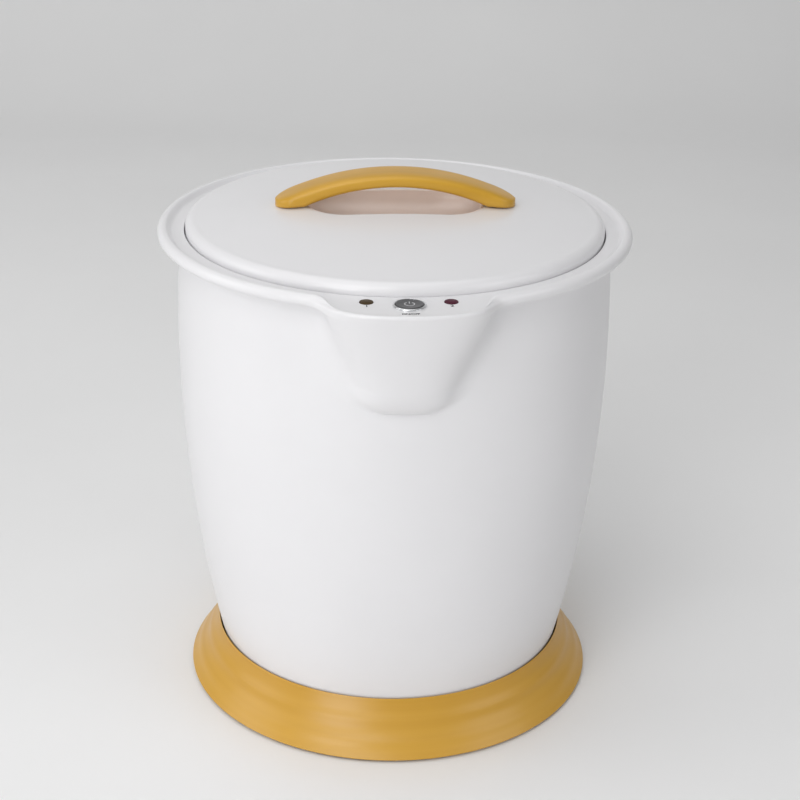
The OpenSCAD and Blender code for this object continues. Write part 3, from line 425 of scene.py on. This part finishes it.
# half width and depth of the nose's outline at height z, and how far its round foot has opened: the foot opens
# like a quarter circle, then the flanks slant out by 1 - (1 - t)^p, and near the top they go straight to its width
def noseHalfAxes(z, s=noseSet):
    footZ = rimZ - s["crestDrop"] - s["height"]
    t = np.clip((z - footZ) / s["height"], 0, 1)
    opened = np.sqrt(1 - (1 - np.clip((z - footZ) / s["footRound"], 0, 1)) ** 2)
    lowT = s["footRound"] / s["height"]
    slant = 1 - (1 - np.clip((t - lowT) / (s["midShare"] - lowT), 0, 1)) ** s["slantPower"]
    nearTop = np.clip((t - s["midShare"]) / (1 - s["midShare"]), 0, 1)
    half = s["footHalf"] - s["footRound"] * (1 - opened) + (s["midHalf"] - s["footHalf"]) * slant
    half -= (s["midHalf"] - s["topHalf"]) * nearTop
    wall = wallR(np.minimum(z, rimZ))
    reach = wall + (s["footReach"] + (s["reach"] - s["footReach"]) * t - wall) * opened
    return half, reach - s["centreY"], opened


# outermost radius of a round wall joined smoothly to the nose's oblong, found on a fine row of radii: the oblong
# is |x/a|^n + |y/b|^n = 1, its distance is its gauge over the gauge's slope, and the two distances are joined
# by the polynomial smooth minimum
def unionRadius(baseR, z, angles, inset, blend, s=noseSet):
    a, b, opened = (np.broadcast_to(v, baseR.shape) for v in noseHalfAxes(z))
    least, tiny, farOff = 0.5, 1e-9, 500.0
    a, b, blend = np.maximum(a - inset, least), np.maximum(b - inset, least), blend * opened + 0.01
    r = np.linspace(*s["searchR"])[:, None, None]
    n = s["power"]
    u = np.abs(r * np.sin(angles)) / a
    v = np.abs(r * np.cos(angles) - s["centreY"]) / b
    gauge = (u ** n + v ** n) ** (1 / n) + tiny
    slope = gauge ** (1 - n) * np.sqrt((u ** (n - 1) / a) ** 2 + (v ** (n - 1) / b) ** 2) + tiny
    dNose = np.where(opened > 0.01, (gauge - 1) / slope, farOff)      # a shut foot counts as far away
    dBase = r - baseR
    h = np.clip(0.5 + 0.5 * (dBase - dNose) / blend, 0, 1)
    d = dBase * (1 - h) + dNose * h - blend * h * (1 - h)
    first = np.maximum(np.argmax(d <= 0, axis=0), 1)
    d1 = np.take_along_axis(d, first[None], 0)[0]
    d0 = np.take_along_axis(d, first[None] - 1, 0)[0]
    r0 = r[first - 1, 0, 0]
    return r0 - (r[0, 0, 0] - r[1, 0, 0]) * d0 / (d0 - d1)


# 0 up to low, 1 from high, and t^2 (3 - 2t) between them
def smoothStep(x, low, high):
    t = np.clip((x - low) / (high - low), 0, 1)
    return t * t * (3 - 2 * t)


# angles about the axis, 0 at the nose: close together across the nose, wider elsewhere
def shellAngles():
    across = 26
    near = np.radians(np.linspace(-across, across, 209))
    far = np.radians(np.linspace(across, 360 - across, 140))[1:-1]
    return np.concatenate([near, far])


# the shell as a closed loop of rows round its wall, each row a radius and a height for every angle
def buildShell(s=shellSet, n=noseSet, c=controlSet):
    th = shellAngles()
    swing = np.abs((th + np.pi) % (2 * np.pi) - np.pi)
    nose = 1 - smoothStep(np.degrees(swing), *n["crestTurn"])
    crestZ = rimZ - n["crestDrop"] * nose
    lipZ = rimZ - 2 * s["lipR"]
    coveZ = lipZ - s["coveR"]
    rowsZ = np.concatenate([np.linspace(s["bottomZ"], s["rowChangeZ"], 34),
                            np.linspace(s["rowChangeZ"], coveZ, 46)[1:]])
    coveA = np.radians(np.linspace(0, 90, 12))[1:]
    lipA = np.radians(np.linspace(-90, 90, 22))
    baseZ = np.concatenate([rowsZ, coveZ + s["coveR"] * np.sin(coveA),
                            lipZ + s["lipR"] + s["lipR"] * np.sin(lipA)])
    baseR = np.concatenate([wallR(rowsZ), wallR(coveZ) + s["coveR"] * (1 - np.cos(coveA)),
                            rimR - s["lipR"] + s["lipR"] * np.cos(lipA)])
    z = baseZ[:, None] * np.ones_like(th)
    squeeze = (crestZ - coveZ) / (rimZ - coveZ)
    z = np.where(z > coveZ, coveZ + (z - coveZ) * squeeze, z)
    fromTop = np.clip(rimZ - n["crestDrop"] - z, 0, None)
    turnedIn = np.clip(1 - fromTop / n["edgeRound"], 0, 1)
    inset = n["edgeRound"] * (1 - np.sqrt(np.clip(1 - turnedIn ** 2, 0, 1)))
    blend = np.interp(z, [coveZ - n["filletDrop"], rimZ], [n["fillet"], n["topFillet"]])
    radius = unionRadius(baseR[:, None] * np.ones_like(th), z, th, inset, blend)
    rows, heights = [radius], [z]
    topZ = rimZ * np.ones_like(th)

    # the rim's plan at its top: a circle joined to the nose, each drawn in
    def outline(baseRadius, drawnIn):
        flat = np.full((1, len(th)), float(baseRadius))
        return unionRadius(flat, topZ[None], th, drawnIn, n["topFillet"])

    # one more row of the loop
    def level(r, h):
        rows.append(np.full((1, len(th)), r) if np.isscalar(r) else r)
        heights.append(np.full((1, len(th)), h) if np.isscalar(h) else h)

    crestIn = outline(rimR - s["lipR"] - s["beadIn"], n["edgeRound"] + n["crestIn"])
    bandOut = outline(rimR - s["lipR"] - s["beadWidth"], n["panelEdge"])
    between = (0.12, 0.3, 0.5, 0.7, 0.88)
    for t in (0.0, *between, 1.0):
        ease = t * t * (3 - 2 * t)
        level(crestIn + (bandOut - crestIn) * t, (crestZ + (bandZ - crestZ) * ease)[None])
    edge = s["seatEdge"]
    for t in between:
        level(bandOut + (s["seatR"] + edge - bandOut) * t, bandZ)
    for r, h in zip(*arcPoints(s["seatR"] + edge, bandZ - edge, edge, 90, 180, 5)):
        level(float(r), float(h))
    innerUnder = seatZ - s["wall"]
    ledgeMid = s["ledgeR"] + s["ledgeRow"]
    for r, h in ((s["seatR"], bandZ - s["seatRow"]), (s["seatR"], seatZ), (ledgeMid, seatZ),
                 (s["ledgeR"], seatZ), (s["ledgeR"], innerUnder), (ledgeMid, innerUnder)):
        level(float(r), float(h))
    slack = s["slack"]      # keeps neighbouring rows apart
    cavity = 1 - smoothStep(np.degrees(swing), *n["cavityTurn"])
    cavityTop = innerUnder + slack + (bandZ - n["panelT"] - innerUnder - slack) * cavity
    innerTop = wallR(innerUnder) - s["wall"]
    seatOut = innerTop + (s["seatR"] + s["seatWall"] - innerTop) * cavity - slack
    for t in (0.0, 0.5, 1.0):
        level(seatOut[None], (innerUnder + (cavityTop - innerUnder) * t)[None])
    inZ = np.linspace(1, 0, 46) ** 1.3      # rows lie closer together towards the foot
    innerZ = s["bottomZ"] + (cavityTop - s["bottomZ"]) * inZ[:, None]
    innerBase = wallR(np.minimum(innerZ, innerUnder)) - s["wall"]
    innerR = unionRadius(innerBase, innerZ, th, s["wall"], n["fillet"])
    level(seatOut[None] + (innerR[:1] - seatOut[None]) * 0.5, cavityTop[None])
    level(innerR, innerZ)
    mesh = ringMesh("shell_body", np.concatenate(rows), np.concatenate(heights), th)
    holes = [((0, c["buttonY"]), c["bezelHole"]), ((-c["lensX"], c["lensY"]), c["lensHole"]),
             ((c["lensX"], c["lensY"]), c["lensHole"])]
    low, high = bandZ - s["drillBelow"], bandZ + s["drillAbove"]
    drills = [turnedMesh("drill", np.array([[0, r, r, 0], [low, low, high, high]]), centre) for centre, r in holes]
    mesh = cutMesh(mesh, drills)
    addObject("shell_body", mesh, "bucket", paint["whiteShell"], replaced=["outer_shell"])
    print("shell:", len(mesh.vertices), "points")


baseSet = dict(footR=146.3, topZ=38.0, lift=1.5, hollow=2.0, thick=3.0, shelfZ=7.0, shelfT=3.0, shelfR=107.9,
               gap=1.1, topLip=0.4, topEdge=0.5, topIn=0.3, backing=1.15, footRound=1.2,
               waves=0.65, waveZ=(12.0, 24.5), waveWidth=3.4)


# flared skirt: a slope from foot to top edge, hollowed by a parabola, with two faint rolls and an inner shelf
def buildBase(s=baseSet):
    t = np.linspace(0, 1, 70)
    topR = wallR(s["topZ"]) + s["gap"] + s["topLip"]
    zz = s["lift"] + s["footRound"] + (s["topZ"] - s["topEdge"] - s["lift"] - s["footRound"]) * t
    outR = s["footR"] + (topR - s["footR"]) * t - 4 * s["hollow"] * t * (1 - t)
    smooth = outR.copy()
    for waveZ in s["waveZ"]:
        outR = outR + s["waves"] * np.exp(-((zz - waveZ) / s["waveWidth"]) ** 2)
    footR, footZ = arcPoints(s["footR"] - s["footRound"], s["lift"] + s["footRound"], s["footRound"], -90, 0, 7)
    inZ = zz[::-1]
    inR = np.maximum(smooth[::-1] - s["backing"] * s["thick"], wallR(inZ) + s["gap"])
    inR[0] = wallR(s["topZ"]) + s["gap"]
    shelfTop = s["shelfZ"] + s["shelfT"]
    above, below = inZ > shelfTop, inZ < s["shelfZ"]
    shelfOut = np.interp([shelfTop, s["shelfZ"]], inZ[::-1], inR[::-1])
    r = np.concatenate([footR[:-1], outR, [topR - s["topIn"]], inR[above],
                        [shelfOut[0], s["shelfR"], s["shelfR"], shelfOut[1]], inR[below]])
    h = np.concatenate([footZ[:-1], zz, [s["topZ"]], inZ[above],
                        [shelfTop, shelfTop, s["shelfZ"], s["shelfZ"]], inZ[below]])
    th = np.linspace(0, 2 * np.pi, 241)[:-1]
    ones = np.ones_like(th)
    mesh = ringMesh("base_skirt", r[:, None] * ones, h[:, None] * ones, th)
    addObject("base_skirt", mesh, "bucket", paint["ochreBase"], replaced=["base_ring"])


lidSet = dict(radius=141.4, crownZ=352.0, domeCurve=945.0, shoulder=7.0, shoulderDrop=0.85, skirtZ=330.0,
              skirtRow=3, skirtEdge=0.4, wall=2.4)
wellSet = dict(halfL=60.0, halfW=29.0, depth=15.0, wall=1.8, power=3.0, gap=0.2, edge=0.7,
               innerDrop=0.9, crestDrop=0.55, rimDrop=0.8, outerDrop=4.0)


# height of the lid's dome, part of a large sphere
def domeZ(r, s=lidSet):
    return s["crownZ"] - s["domeCurve"] + np.sqrt(s["domeCurve"] ** 2 - r ** 2)


# polar radius of an outline with two straight sides and two round ends
def stadiumR(angles, halfL, halfW):
    c, si = np.abs(np.cos(angles)), np.abs(np.sin(angles))
    run = halfL - halfW
    side = halfW / np.maximum(si, 1e-9)
    end = run * c + np.sqrt(np.maximum(halfW ** 2 - (run * si) ** 2, 0))
    return np.where(side * c <= run, side, end)


# rows of points at a radius and a height, at angles from +X
def polarGrid(radius, height, angles):
    x, y = radius * np.cos(angles), radius * np.sin(angles) + axisY
    return np.stack([x, y, height * np.ones_like(x)], -1)


# the cover: rows run from the well's edge over the dome, the shoulder and the skirt, and back beneath
def buildLid(s=lidSet, w=wellSet):
    th = np.linspace(0, 2 * np.pi, 289)[:-1]
    hole = stadiumR(th, w["halfL"] + w["gap"], w["halfW"] + w["gap"])
    flatR = s["radius"] - s["shoulder"]
    drop = s["shoulder"] * s["shoulderDrop"]
    rows, heights = [], []
    for a in np.radians([180, 150, 120, 90]):
        r = hole + w["edge"] * (1 + np.cos(a))
        rows.append(r)
        heights.append(domeZ(r) - w["edge"] * (1 - np.sin(a)))
    for t in np.linspace(0, 1, 40)[1:]:
        r = (hole + w["edge"]) * (1 - t) + flatR * t
        rows.append(r)
        heights.append(domeZ(r))
    for a in np.radians(np.linspace(90, 0, 16)[1:]):
        rows.append(np.full_like(th, flatR + s["shoulder"] * np.cos(a)))
        heights.append(np.full_like(th, domeZ(flatR) - drop + drop * np.sin(a)))
    lower = [(s["radius"], s["skirtZ"] + s["skirtRow"]), (s["radius"], s["skirtZ"] + s["skirtEdge"]),
             (s["radius"] - s["skirtEdge"], s["skirtZ"]), (s["radius"] - s["wall"], s["skirtZ"]),
             (s["radius"] - s["wall"], domeZ(flatR) - drop - s["wall"])]
    for r, h in lower:
        rows.append(np.full_like(th, r))
        heights.append(np.full_like(th, h))
    for t in np.linspace(0, 1, 12):
        r = (flatR - s["wall"]) * (1 - t) + hole * t
        rows.append(r)
        heights.append(domeZ(r) - s["wall"])
    p = polarGrid(np.array(rows), np.array(heights), th)
    mesh = meshFromArrays("lid_dome", p.reshape(-1, 3), gridFaces(len(rows), len(th), True, True))
    addObject("lid_dome", mesh, "lid", paint["whiteShell"], replaced=["lid_cover"])


# the bowl: |r/R|^p + |d/depth|^p = 1 inside a stadium outline, a lip that crests seven tenths of the way across
# the wall, and the same bowl drawn out by its wall
def buildWell(w=wellSet, s=lidSet):
    th = np.linspace(0, 2 * np.pi, 193)[:-1]
    floorZ = s["crownZ"] - w["depth"]
    p = w["power"]
    rows, heights = [], []
    inner = stadiumR(th, w["halfL"] - w["wall"], w["halfW"] - w["wall"])
    outer = stadiumR(th, w["halfL"], w["halfW"])
    turn = np.radians(np.linspace(0, 90, 30)[1:])
    sides = ((inner, w["innerDrop"], floorZ, turn), (outer, w["outerDrop"], floorZ - w["wall"], turn[::-1]))
    for outline, lowered, bottom, steps in sides:
        edgeZ = domeZ(outline) - lowered
        for k in steps:
            rows.append(outline * np.sin(k) ** (2 / p))
            heights.append(edgeZ - (edgeZ - bottom) * np.cos(k) ** (2 / p))
        if outline is inner:
            rows += [inner * 0.3 + outer * 0.7, outer]
            heights += [domeZ(inner) - w["crestDrop"], domeZ(outer) - w["rimDrop"]]
    grid = polarGrid(np.array(rows), np.array(heights), th)
    mesh = cappedMesh("well_bowl", grid, [0, axisY, floorZ], [0, axisY, floorZ - w["wall"]])
    addObject("well_bowl", mesh, "lid", paint["sandWellPaintedLight"], replaced=["finger_well"])


handleSet = dict(halfL=81.0, halfW=14.8, taper=0.8, topZ=373.0, thick=9.5, endH=5.0, endR=13.0, gripHalfL=60.5,
                 power=3.6, seatShare=0.6, sink=0.2)


# radius of the arc that rises by a height over half a chord: (c^2 + h^2) / 2h
def arcRadius(halfChord, height):
    return (halfChord ** 2 + height ** 2) / (2 * height)


# bridge: at every x a rounded oblong between an upper arc and a flatter lower arc or the dome; in plan its ends
# are drawn in like a circle
def buildHandle(s=handleSet):
    n = 120
    x = -s["halfL"] * np.cos(np.linspace(0, np.pi, n))[1:-1]
    upR = arcRadius(s["halfL"], s["topZ"] - domeZ(s["halfL"]) - s["endH"])
    top = s["topZ"] - upR + np.sqrt(upR ** 2 - x ** 2)
    gripZ = s["topZ"] - s["thick"]
    lowR = arcRadius(s["gripHalfL"], gripZ - domeZ(s["gripHalfL"]))
    under = gripZ - lowR + np.sqrt(lowR ** 2 - x ** 2)
    fromEnd = np.clip((np.abs(x) - s["halfL"] + s["endR"]) / s["endR"], 0, 1)
    half = (s["halfW"] - s["taper"] * (x / s["halfL"]) ** 2) * np.sqrt(1 - fromEnd ** 2)
    low = np.maximum(under, domeZ(np.hypot(x, s["seatShare"] * half)) - s["sink"])
    a = np.linspace(0, 2 * np.pi, 65)[:-1]
    k = 2 / s["power"]
    cy = np.sign(np.cos(a)) * np.abs(np.cos(a)) ** k
    cz = np.sign(np.sin(a)) * np.abs(np.sin(a)) ** k
    y = half[:, None] * cy
    mid, tall = (top + low) / 2, (top - low) / 2
    z = mid[:, None] + tall[:, None] * cz
    p = np.stack([np.broadcast_to(x[:, None], y.shape), y + axisY, z], -1)
    mesh = cappedMesh("lid_bridge", p, [-s["halfL"], axisY, mid[0]], [s["halfL"], axisY, mid[-1]])
    addObject("lid_bridge", mesh, "lid", paint["ochreHandle"], replaced=["lid_handle"])


potSet = dict(floorZ=62.0, thick=1.2, flangeR=138.7, topR=128.0, floorR=112.0, flangeZ=327.2, corner=14.0,
              ringIn=(40, 42), ringOut=(70, 72), ringUp=0.8)


# tapered pot: a profile turned about the axis, with a flat flange, a rounded floor corner and a shallow raised
# ring in its floor
def buildPot(s=potSet):
    z0, t, top = s["floorZ"], s["thick"], s["flangeZ"] + s["thick"]
    lean = (s["topR"] - s["floorR"]) / (top - z0)
    raised = z0 + t + s["ringUp"]
    inner = [(0, z0 + t), (s["ringIn"][0], z0 + t), (s["ringIn"][1], raised), (s["ringOut"][0], raised),
             (s["ringOut"][1], z0 + t), (s["floorR"] + lean * t, z0 + t), (s["topR"], top)]
    outer = [(s["flangeR"], top), (s["flangeR"], s["flangeZ"]), (s["topR"] + t, s["flangeZ"]),
             (s["floorR"] + t, z0), (0, z0)]
    radii = [0, 2, 2, 2, 2, s["corner"], 1.0, 0.5, 0.5, 0.4, s["corner"] + t, 0]
    profile = roundedProfile(inner + outer, radii, steps=9)
    mesh = turnedMesh("pot_bowl", profile, count=240)
    addObject("pot_bowl", mesh, "bucket", paint["spunPot"], replaced=["inner_pot"])


bezelSet = dict(innerR=8.75, neckR=9.5, neckZ=331.0, flange=1.5, height=1.2, sideShare=0.75, topIn=0.75,
                lipIn=0.35, lipDrop=0.5)
capSet = dict(topZ=336.0, dish=0.45, faceIn=0.9, edgeR=0.6, skirtIn=1.5, skin=2.5, flangeR=9.4, flangeT=1.2,
              flangeZ=329.4, stemZ=326.0, stemR=2.5)
markSet = dict(ringR=2.95, barFoot=0.9, barTop=3.9, width=0.62, proud=0.1, gap=32, sunk=0.05)
printSet = dict(wordHeight=2.2, numberHeight=3.0, thick=0.1, sunk=0.02, rowY=-171.0, lensDrop=6.8)
lensSet = dict(proud=0.6, domeIn=0.5, domeRise=0.25, edgeIn=0.45, edgeR=0.3, sideIn=0.15, flange=0.4, flangeT=1.5)


# trim ring: a closed profile turned about the button, a neck through the panel and a rounded flange on it
def buildBezel(s=bezelSet, c=controlSet):
    outR = s["innerR"] + s["flange"]
    points = [(s["innerR"], s["neckZ"]), (s["neckR"], s["neckZ"]), (s["neckR"], bandZ), (outR, bandZ),
              (outR, bandZ + s["height"] * s["sideShare"]), (outR - s["topIn"], bandZ + s["height"]),
              (s["innerR"] + s["lipIn"], bandZ + s["height"]),
              (s["innerR"], bandZ + s["height"] - s["lipDrop"])]
    profile = roundedProfile(points, [0.1, 0.1, 0.1, 0.08, 0.35, 0.3, 0.15, 0.15], closed=True)
    mesh = turnedMesh("bezel_ring", profile, (0, c["buttonY"]), closed=True)
    addObject("bezel_ring", mesh, "bucket", paint["chromeBezel"], replaced=["button_bezel"])


# height of the cap's dished face, a parabola that falls by the dish towards its middle
def capZ(r, s=capSet, c=controlSet):
    return s["topZ"] - s["dish"] * (1 - np.clip(r / (c["capR"] - s["faceIn"]), 0, 1) ** 2)


# cap: a dished face, a rounded edge, a skirt with a stop flange, and the stem that meets the switch
def buildCap(s=capSet, c=controlSet):
    r = np.linspace(0, c["capR"] - s["faceIn"], 12)
    edgeR, edgeZ = arcPoints(c["capR"] - s["edgeR"], s["topZ"] - s["edgeR"], s["edgeR"], 80, 0, 7)
    flangeTop, skirtR, underZ = s["flangeZ"] + s["flangeT"], c["capR"] - s["skirtIn"], s["topZ"] - s["skin"]
    body = [(c["capR"], flangeTop), (s["flangeR"], flangeTop), (s["flangeR"], s["flangeZ"]),
            (skirtR, s["flangeZ"]), (skirtR, underZ), (s["stemR"], underZ), (s["stemR"], s["stemZ"]),
            (0, s["stemZ"])]
    lowR, lowZ = np.array(body).T
    profile = np.array([np.concatenate([r, edgeR, lowR]), np.concatenate([capZ(r), edgeZ, lowZ])])
    mesh = turnedMesh("cap_button", profile, (0, c["buttonY"]))
    addObject("cap_button", mesh, "power_button", paint["capGrey"], replaced=["button_cap"])


# a flat strip along a path in the plane: the path moved half a width to each side of its run, lying on a surface
# given as a function and sunk a little in it
def stripGrid(x, y, surface, s=markSet):
    p = np.stack([x, y], 1)
    run = np.gradient(p, axis=0)
    run /= np.linalg.norm(run, axis=1)[:, None]
    side = np.stack([-run[:, 1], run[:, 0]], 1) * s["width"] / 2
    a, b = p + side, p - side
    rows = []
    for edge, lift in ((a, -s["sunk"]), (b, -s["sunk"]), (b, s["proud"]), (a, s["proud"])):
        rows.append(np.column_stack([edge, surface(edge[:, 0], edge[:, 1]) + lift]))
    return np.stack(rows, 1)


# joins closed strips into one piece
def buildStrips(name, grids, centre, body, material):
    joined = bmesh.new()
    for grid in grids:
        grid = grid + np.array([centre[0], centre[1] + axisY, 0])
        strip = cappedMesh("strip", grid, grid[0].mean(0), grid[-1].mean(0))
        joined.from_mesh(strip)
        bpy.data.meshes.remove(strip)
    whole = bpy.data.meshes.new(name)
    joined.to_mesh(whole)
    joined.free()
    addObject(name, whole, body, paint[material], sharp=30)


# height of the cap's face under a point of the sign
def faceZ(x, y):
    return capZ(np.hypot(x, y))


# the plain on-off sign: a ring open at the back and a bar that stands in the opening
def buildMark(s=markSet, c=controlSet):
    a = np.radians(np.linspace(90 + s["gap"], 450 - s["gap"], 61))
    bar = np.linspace(s["barFoot"], s["barTop"], 9)
    grids = [stripGrid(s["ringR"] * np.cos(a), s["ringR"] * np.sin(a), faceZ), stripGrid(0 * bar, bar, faceZ)]
    buildStrips("cap_mark", grids, (0, c["buttonY"]), "power_button", "markPale")


# generic words printed on the panel, as thin letters
def buildPrint(name, words, height, x, y, s=printSet):
    curve = bpy.data.curves.new(name, "FONT")
    curve.body, curve.extrude = words, s["thick"] / 2000
    curve.size = height / 700      # a capital is 0.7 of a font's size
    curve.offset = height / 30000      # a little bolder
    curve.align_x, curve.align_y = "CENTER", "CENTER"
    curve.space_character, curve.resolution_u = 0.92, 3
    holder = bpy.data.objects.new(name, curve)
    bpy.context.scene.collection.objects.link(holder)
    mesh = bpy.data.meshes.new_from_object(holder.evaluated_get(bpy.context.evaluated_depsgraph_get()))
    bpy.data.objects.remove(holder)
    z = bandZ + s["thick"] / 2 - s["sunk"]
    mesh.transform(Matrix.Translation((x / 1000, (y + axisY) / 1000, z / 1000)))
    addObject(name, mesh, "bucket", paint["printDark"], sharp=30)


# lens: a low parabolic dome with a rounded shoulder, standing a little above the panel, and a flange beneath it
def buildLens(name, node, x, material, s=lensSet, c=controlSet):
    domeR, flangeR = c["lensR"] - s["domeIn"], c["lensR"] + s["flange"]
    r = np.linspace(0, domeR, 9)
    topZ = bandZ + s["proud"]
    edgeR, edgeZ = arcPoints(c["lensR"] - s["edgeIn"], topZ - s["edgeIn"], s["edgeR"], 70, 0, 5)
    underZ = bandZ - noseSet["panelT"]
    low = [(c["lensR"] - s["sideIn"], underZ), (flangeR, underZ), (flangeR, underZ - s["flangeT"]),
           (0, underZ - s["flangeT"])]
    lowR, lowZ = np.array(low).T
    dome = topZ - s["domeRise"] * (r / domeR) ** 2
    profile = np.array([np.concatenate([r, edgeR, lowR]), np.concatenate([dome, edgeZ, lowZ])])
    mesh = turnedMesh(name, profile, (x, c["lensY"]), count=64)
    addObject(name, mesh, "bucket", paint[material], replaced=[node])


buildShell()
buildBase()
buildLid()
buildWell()
buildHandle()
buildPot()
buildBezel()
buildCap()
buildMark()
lensX, belowLens = controlSet["lensX"], controlSet["lensY"] - printSet["lensDrop"]
buildLens("lens_amber", "lens_left", -lensX, "amberLens")
buildLens("lens_wine", "lens_right", lensX, "wineLens")
buildPrint("print_on_off", "ON/OFF", printSet["wordHeight"], 0, printSet["rowY"])
buildPrint("print_one", "1", printSet["numberHeight"], -lensX, belowLens)
buildPrint("print_two", "2", printSet["numberHeight"], lensX, belowLens)
print("pieces built")


# from here on lengths are in metres
stageSet = dict(half=5.0, front=-3.0, back=1.5, bend=0.7, top=3.2)
floorFinish = dict(tones=((0.87, 0.87, 0.87), (0.90, 0.90, 0.90)), drift=dict(scale=3), rough=(0.35, 0.45),
                   relief=[dict(scale=600, depth=4e-6)])
lampAim = (0, 0, 0.2)
lampSet = dict(
    high=dict(place=(-0.9, -1.8, 2.3), size=(1.6, 1.6), watts=24.5),
    front=dict(place=(-1.3, -2.2, 0.7), size=(1.2, 1.2), watts=19),
    left=dict(place=(-2.1, -0.2, 0.9), size=(1.2, 1.4), watts=8.5),
    right=dict(place=(1.7, -1.0, 1.1), size=(1.2, 1.2), watts=7),
    top=dict(place=(-0.3, 0.2, 2.2), size=(1.8, 1.8), watts=11.5),
)
worldSet = dict(colour=(1, 1, 1), strength=0.24)


# floor that bends up into a wall: a profile carried across its width
def addStage(s=stageSet):
    bendY, bendZ = arcPoints(s["back"], s["bend"], s["bend"], -90, 0, 17)
    y = np.concatenate([[s["front"]], bendY, [s["back"] + s["bend"]]])
    z = np.concatenate([[0], bendZ, [s["top"]]])
    x = np.array([-s["half"], s["half"]])
    p = np.stack([np.broadcast_to(x, (len(y), 2)), np.broadcast_to(y[:, None], (len(y), 2)),
                  np.broadcast_to(z[:, None], (len(y), 2))], -1)
    mesh = bpy.data.meshes.new("floor")
    mesh.from_pydata(p.reshape(-1, 3).tolist(), [], gridFaces(len(y), 2, False, False)[:, ::-1].tolist())
    mesh.shade_smooth()
    floor = bpy.data.objects.new("floor", mesh)
    bpy.context.scene.collection.objects.link(floor)
    mesh.materials.append(makeFinish("paleFloor", floorFinish))


# soft rectangular lamps, each turned to face a point on the bucket
def addLights():
    world = bpy.data.worlds.new("world")
    bpy.context.scene.world = world
    world.use_nodes = True
    background = world.node_tree.nodes["Background"]
    background.inputs["Color"].default_value = (*worldSet["colour"], 1)
    background.inputs["Strength"].default_value = worldSet["strength"]
    for name, s in lampSet.items():
        lamp = bpy.data.lights.new(name, "AREA")
        lamp.shape, lamp.energy = "RECTANGLE", s["watts"]
        lamp.size, lamp.size_y = s["size"]
        away = np.array(s["place"], float) - np.array(lampAim)
        away /= np.linalg.norm(away)
        side = np.cross((0, 0, 1), away)
        side /= np.linalg.norm(side)
        columns = np.stack([side, np.cross(away, side), away, s["place"]], 1)
        obj = bpy.data.objects.new(name, lamp)
        obj.matrix_world = Matrix([list(row) for row in columns] + [[0, 0, 0, 1]])
        bpy.context.scene.collection.objects.link(obj)


addStage()
addLights()
print("floor and lights placed")
bpy.context.scene.view_settings.view_transform = "Standard"
